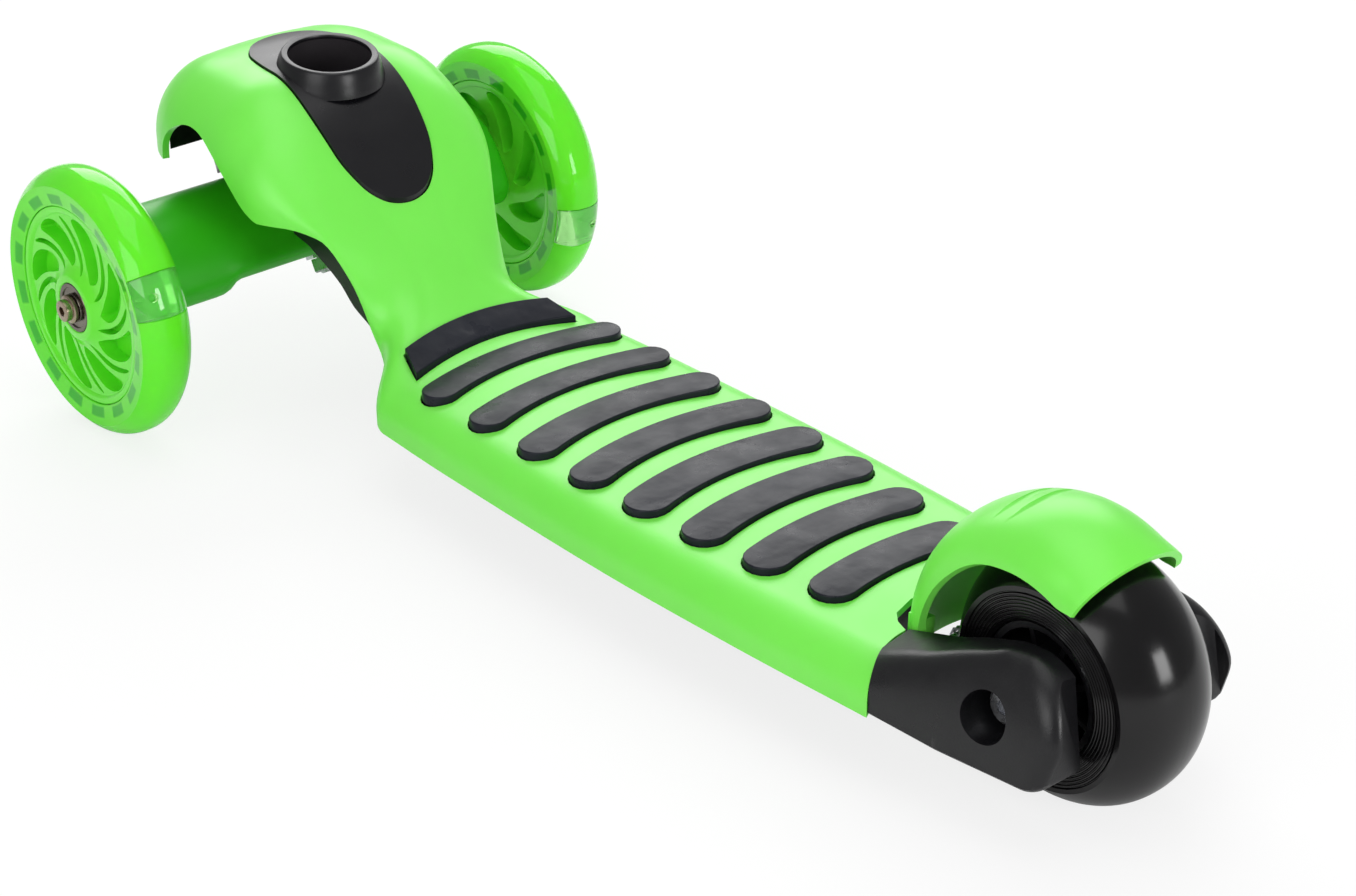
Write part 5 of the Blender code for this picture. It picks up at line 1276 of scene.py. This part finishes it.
def add_light_insert(name, body, side, light, centre):
    """The clear block in the tread, with the round well of its light."""
    curve = front_tread()
    floor = LIGHT_FLOOR + GAP
    start = light - LIGHT_HALF + GAP / 2 / FRONT_TYRE_RADIUS
    sweep = 2 * LIGHT_HALF - GAP / FRONT_TYRE_RADIUS
    block = turned(curve + [(curve[-1][0], floor), (curve[0][0], floor)], 12, "X", start, sweep)
    insert = mesh_object(f"{name}_clear_insert", block, CLEAR, centre)
    foot = LIGHT_FLOOR + WELL_RISE
    dome = [(foot + WELL_DEPTH * (1 - math.cos(turn)), WELL_RADIUS * math.sin(turn))
            for turn in (math.pi / 24 * i for i in range(13))]
    well = turned(dome + [(OUT_OF_TYRE, WELL_RADIUS), (OUT_OF_TYRE, 0)], 48, "Z")
    tilt = Matrix.Translation((side * LIGHT_WELL_OUT, 0, 0)) @ Matrix.Rotation(light - math.pi / 2, 4, "X")
    cut(insert, f"{name}_light_well", well, centre @ tilt)
    settle(insert, body, f"{name}_light_insert", edge=0.0003, smooth=35, angle=60)


def add_front_bolt(name, side):
    """The front axle's bolt, with a washer face, a stepped head and a small hexagon."""
    face = TRACK / 2 + WHEEL_HUB_HALF
    head = TRACK / 2 + 0.0186
    outline = [
        (0.0570, 0), (0.0570, BEARING_BORE - 0.0006), (0.0576, BEARING_BORE), (face + 0.0006, BEARING_BORE),
        (face + 0.0006, 0.0060), (face + 0.0008, 0.0063), (face + 0.0022, 0.0063), (face + 0.0026, 0.0058),
        (face + 0.0028, 0.0048), (TRACK / 2 + 0.0181, 0.0048), (TRACK / 2 + 0.0184, 0.0047), (head, 0.0043),
        (head, 0),
    ]
    bolt = mesh_object(f"{name}_bolt", turned([(side * x, r) for x, r in outline], BORE_ROUND), NICKEL,
                       FRONT_AXLE_FRAME)
    start = side * (TRACK / 2 + 0.0160)
    hexagon = facing(circle(0.0023, 6), *sorted((start, start + side * 0.010)))
    cut(bolt, f"{name}_bolt_hex", hexagon, FRONT_AXLE_FRAME)
    settle(bolt, "front_axle", f"{name}_axle_bolt", edge=0.0001, smooth=30, angle=60)


def add_front_wheel(name, side):
    body = f"{name}_front_wheel"
    centre = Matrix.Translation((side * TRACK / 2, FRONT_AXLE_Y, FRONT_TYRE_RADIUS))
    light = LIGHT_ANGLES[name]
    face = WHEEL_HUB_HALF
    fit = BEARING_SEAT_RADIUS
    ring = HUB_RING_HALF
    seat = face - BEARING_WIDTH - 0.0002
    outline = [
        (face - 0.0004, fit), (face, fit + 0.0004), (face, 0.0142), (face - 0.0004, 0.0148), (0.0106, 0.0175),
        (ring - 0.0004, 0.0205), (ring - 0.0010, 0.0260), (ring - 0.0012, 0.0340),
        (ring - 0.0012, SWIRL_OUTER + 0.0005), (ring - 0.0002, HUB_RING_INNER - 0.0001),
        (ring, HUB_RING_INNER + 0.0003), (ring, HUB_RING_OUTER - 0.0003), (ring - 0.0003, HUB_RING_OUTER),
        (FLANGE_HALF, HUB_RING_OUTER), (FLANGE_HALF, FLANGE_OUTER),
    ]
    hub = mesh_object(f"{name}_hub", turned(hub_profile(outline, seat), TYRE_ROUND), WHEEL_GREEN, centre)
    cut(hub, f"{name}_swirls", wheel_swirls(side), centre)
    cut(hub, f"{name}_windows", window_shapes(), centre)
    settle(hub, body, f"{name}_wheel_hub", edge=0.0005, smooth=35, segments=3, angle=50)
    tyre = mesh_object(f"{name}_clear_tyre", turned(front_tyre_profile(), TYRE_ROUND), TYRE_GREEN, centre)
    cut(tyre, f"{name}_light_gap", light_wedge(light), centre)
    settle(tyre, body, f"{name}_tyre", edge=0.0003, smooth=35, angle=60)
    add_light_insert(name, body, side, light, centre)
    for where, sign in (("inner", -1), ("outer", 1)):
        inner_face = sign * side * (seat + GAP / 2)
        add_bearing(f"{name}_{where}", body, inner_face, sign * side * BEARING_WIDTH, centre)
    add_front_bolt(name, side)


def rear_tyre_profile():
    """The rear tyre's outline, with a seam on its tread and fine turned rings on both sides."""
    half = REAR_FACE_HALF
    curve = tread(REAR_TYRE_RADIUS, half, REAR_TREAD_DROP, REAR_TREAD_POWER, REAR_TREAD_STEPS)
    middle = REAR_TREAD_STEPS // 2
    seam = [(x, REAR_TYRE_RADIUS - deep) for x, deep in ((-SEAM_HALF, 0), (0.0, SEAM_DEPTH), (SEAM_HALF, 0))]
    inner = REAR_HUB_RIM + GAP
    rings = []
    for radius in SIDE_RINGS:
        deep = FIRST_RING_DEPTH if radius == SIDE_RINGS[0] else SIDE_RING_DEPTH
        rings += [(half, radius + SIDE_RING_HALF), (half - deep, radius + 0.0001),
                  (half - deep, radius - 0.0001), (half, radius - SIDE_RING_HALF)]
    left = [(-x, r) for x, r in rings]
    bore = [(-half + 0.0003, inner), (half - 0.0003, inner)]
    return curve[:middle] + seam + curve[middle + 1:] + left + bore + rings[::-1]


def add_rear_wheel():
    """The wide rear wheel: a solid tyre and a spoked hub set deep inside."""
    half = REAR_FACE_HALF
    tyre = mesh_object("black_rear_tyre", turned(rear_tyre_profile(), TYRE_ROUND), REAR_TYRE, REAR_AXLE_FRAME)
    settle(tyre, "rear_wheel", "rear_tyre", smooth=30)
    seat = half - BEARING_WIDTH
    outline = [
        (half, BEARING_SEAT_RADIUS), (half, 0.0145), (0.0030, 0.0156), (0.0030, 0.0222),
        (half - 0.0012, 0.0228), (half - 0.0012, REAR_HUB_RIM),
    ]
    profile = hub_profile(outline, seat)
    hub = mesh_object("black_rear_hub", turned(profile, TYRE_ROUND), NYLON, REAR_AXLE_FRAME)
    bar = [(0.0148, -SPOKE_HALF), (0.0232, -SPOKE_HALF), (0.0232, SPOKE_HALF), (0.0148, SPOKE_HALF)]
    spokes = []
    for index in range(SPOKE_COUNT):
        turn = Matrix.Rotation(2 * math.pi * (index + 0.5) / SPOKE_COUNT, 4, "X")
        spokes.append(placed(facing(bar, -half + 0.0040, half - 0.0040), turn))
    join(hub, "rear_spokes", merged(spokes), REAR_AXLE_FRAME)
    settle(hub, "rear_wheel", "rear_hub", edge=0.0003, smooth=35, angle=50)
    for name, sign in (("left", 1), ("right", -1)):
        width = sign * (BEARING_WIDTH - GAP / 2)
        add_bearing(f"rear_{name}", "rear_wheel", sign * (seat + GAP / 2), width, REAR_AXLE_FRAME)


fender_radius = smooth_curve([
    (-0.15, 0.0700), (0.0, 0.0697), (0.35, 0.0684), (0.70, 0.0660), (1.05, 0.0636), (1.40, 0.0612),
    (1.75, 0.0586), (2.06, 0.0564),
])
fender_drop = smooth_curve([
    (0.0, 0.0160), (0.54, 0.0170), (0.97, 0.0165), (1.27, 0.0175), (1.80, 0.0185), (FENDER_END, 0.0155),
])


def fender_ring(angle, steps=24):
    """One cross-section of the brake fender: a half ellipse about the tyre, open below."""
    radius, drop = fender_radius(angle), fender_drop(angle)
    ring = []
    for surface in (FENDER_WALL / 2, -FENDER_WALL / 2):
        row = []
        for i in range(steps + 1):
            turn = mix(0.04, math.pi - 0.04, i / steps)
            x = (FENDER_MIDDLE + surface) * math.cos(turn)
            distance = radius + surface - (drop + surface * 0.5) * (1 - math.sin(turn))
            row.append((x, rear(-distance * math.cos(angle)), REAR_TYRE_RADIUS + distance * math.sin(angle)))
        ring += row if surface > 0 else row[::-1]
    return ring


def fender_groove(middle):
    """A shallow bowed groove across the top of the fender, fading out towards its ends."""
    waves = [math.cos(math.pi * k / 8) for k in range(9)]
    outline = [(-wave, GROOVE_DEPTH * wave**2) for wave in waves] + [(1, 0.010), (-1, 0.010)]
    rows = []
    for i in range(37):
        x = mix(-GROOVE_REACH, GROOVE_REACH, i / 36)
        taper = 1 - abs(x / GROOVE_REACH) ** 3
        turn = math.acos(x / FENDER_HALF_WIDTH)
        bow = middle - GROOVE_BOW * (x / GROOVE_REACH) ** 2
        base = fender_radius(bow) + FENDER_WALL / 2 - fender_drop(bow) * (1 - math.sin(turn))
        base -= GROOVE_DEPTH * taper
        half = GROOVE_HALF * (0.15 + 0.85 * taper)
        row = []
        for angle, rise in outline:
            place, r = bow + angle * half, base + rise
            row.append((x, rear(-r * math.cos(place)), REAR_TYRE_RADIUS + r * math.sin(place)))
        rows.append(row)
    return loft(rows)


def add_fender():
    """The brake fender, a lever on a pin, with two shallow grooves across its top."""
    rings = [fender_ring(mix(FENDER_START, FENDER_END, i / 60)) for i in range(61)]
    fender = mesh_object("green_fender", loft(rings), GREEN)
    lug = ((-0.0048, -0.0020), (-0.0020, -0.0050), (0.0020, -0.0050), (0.0048, -0.0020), (0.0048, 0.0190),
           (-0.0040, 0.0180))
    outline = [(rear(-FENDER_HINGE_AHEAD + y), FENDER_HINGE_HEIGHT + z) for y, z in lug]
    lugs = [facing(outline, *sorted((side * 0.0207, side * 0.0252))) for side in (1, -1)]
    join(fender, "fender_lugs", merged(lugs))
    cut(fender, "fender_grooves", merged([fender_groove(middle) for middle in GROOVE_ANGLES]))
    cut(fender, "fender_pin_hole", rod(FENDER_PIN_RADIUS + 0.00008, -0.060, 0.060, 32), FENDER_PIN_FRAME)
    settle(fender, "brake", "brake_fender", edge=0.0005, smooth=38, segments=3, angle=50)


def dress_cad_nodes():
    """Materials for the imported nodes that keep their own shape."""
    wanted = {"upper_steering_bush": RUBBER, "lower_steering_bush": NYLON, "brake_spring": SPRING}
    for name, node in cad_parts.items():
        if not node.hide_render:
            node.data.materials.clear()
            node.data.materials.append(wanted.get(name, STEEL))


def area_light(name, place, target, size, power):
    lamp = bpy.data.lights.new(name, "AREA")
    lamp.shape = "RECTANGLE"
    lamp.size, lamp.size_y = size
    lamp.energy = power
    made = bpy.data.objects.new(name, lamp)
    made.location = place
    made.rotation_mode = "QUATERNION"
    made.rotation_quaternion = (Vector(target) - Vector(place)).to_track_quat("-Z", "Y")
    bpy.context.collection.objects.link(made)


def white_for_camera(tree, surface, kind, share):
    """Plain white where the camera or a refraction meets it, and the given shader otherwise."""
    path = tree.nodes.new("ShaderNodeLightPath").outputs
    either = math_node(tree, "MAXIMUM", path["Is Camera Ray"], path["Is Transmission Ray"])
    white = node_of(tree, kind, {"Color": WHITE, "Strength": 1.0}).outputs[0]
    factor = math_node(tree, "MULTIPLY", either, share)
    return node_of(tree, "MixShader", {"Fac": factor, 1: surface.outputs[0], 2: white}).outputs[0]


def add_stage():
    """A pale floor, white surroundings and large soft lights."""
    scene = bpy.context.scene
    world = bpy.data.worlds.new("studio")
    world.use_nodes = True
    scene.world = world
    tree = world.node_tree
    soft = tree.nodes["Background"]
    fill(tree, soft, {"Color": WHITE, "Strength": WORLD_LIGHT})
    surface = white_for_camera(tree, soft, "Background", 1.0)
    fill(tree, tree.nodes["World Output"], {"Surface": surface})
    corners = [(x * FLOOR_HALF, y * FLOOR_HALF, 0) for x, y in ((-1, -1), (1, -1), (1, 1), (-1, 1))]
    floor = mesh_object("floor", (corners, [(0, 1, 2, 3)]))
    floor.location.z = FLOOR_HEIGHT
    pale, tree, shader = shader_of("pale_floor")
    fill(tree, shader, {"Base Color": FLOOR_COLOUR, "Roughness": 0.75, "Specular IOR Level": 0.2})
    surface = white_for_camera(tree, shader, "Emission", FLOOR_GLOW)
    fill(tree, tree.nodes["Material Output"], {"Surface": surface})
    floor.data.materials.append(pale)
    for light in LIGHTS:
        area_light(*light)
    scene.view_settings.view_transform = "Standard"


def add_camera():
    """The photograph's view, from behind the left rear corner and above."""
    back = Vector((
        math.sin(CAMERA_AZIMUTH) * math.cos(CAMERA_ELEVATION),
        -math.cos(CAMERA_AZIMUTH) * math.cos(CAMERA_ELEVATION),
        math.sin(CAMERA_ELEVATION),
    ))
    across = Vector((0, 0, 1)).cross(back).normalized()
    up = back.cross(across)
    turn_x = across * math.cos(CAMERA_ROLL) + up * math.sin(CAMERA_ROLL)
    turn_y = up * math.cos(CAMERA_ROLL) - across * math.sin(CAMERA_ROLL)
    data = bpy.data.cameras.new("camera")
    data.lens = CAMERA_LENS
    data.sensor_width = SENSOR_WIDTH
    camera = bpy.data.objects.new("camera", data)
    place = Matrix((turn_x, turn_y, back)).transposed().to_4x4()
    place.translation = Vector(CAMERA_TARGET) + back * CAMERA_DISTANCE
    camera.matrix_world = place
    bpy.context.collection.objects.link(camera)
    bpy.context.scene.camera = camera


add_camera()
add_cover()
add_grip_strips()
add_trim()
add_sleeve()
add_chassis()
add_axle_beam()
add_front_wheel("left", 1)
add_front_wheel("right", -1)
add_rear_wheel()
add_fender()
dress_cad_nodes()
add_stage()
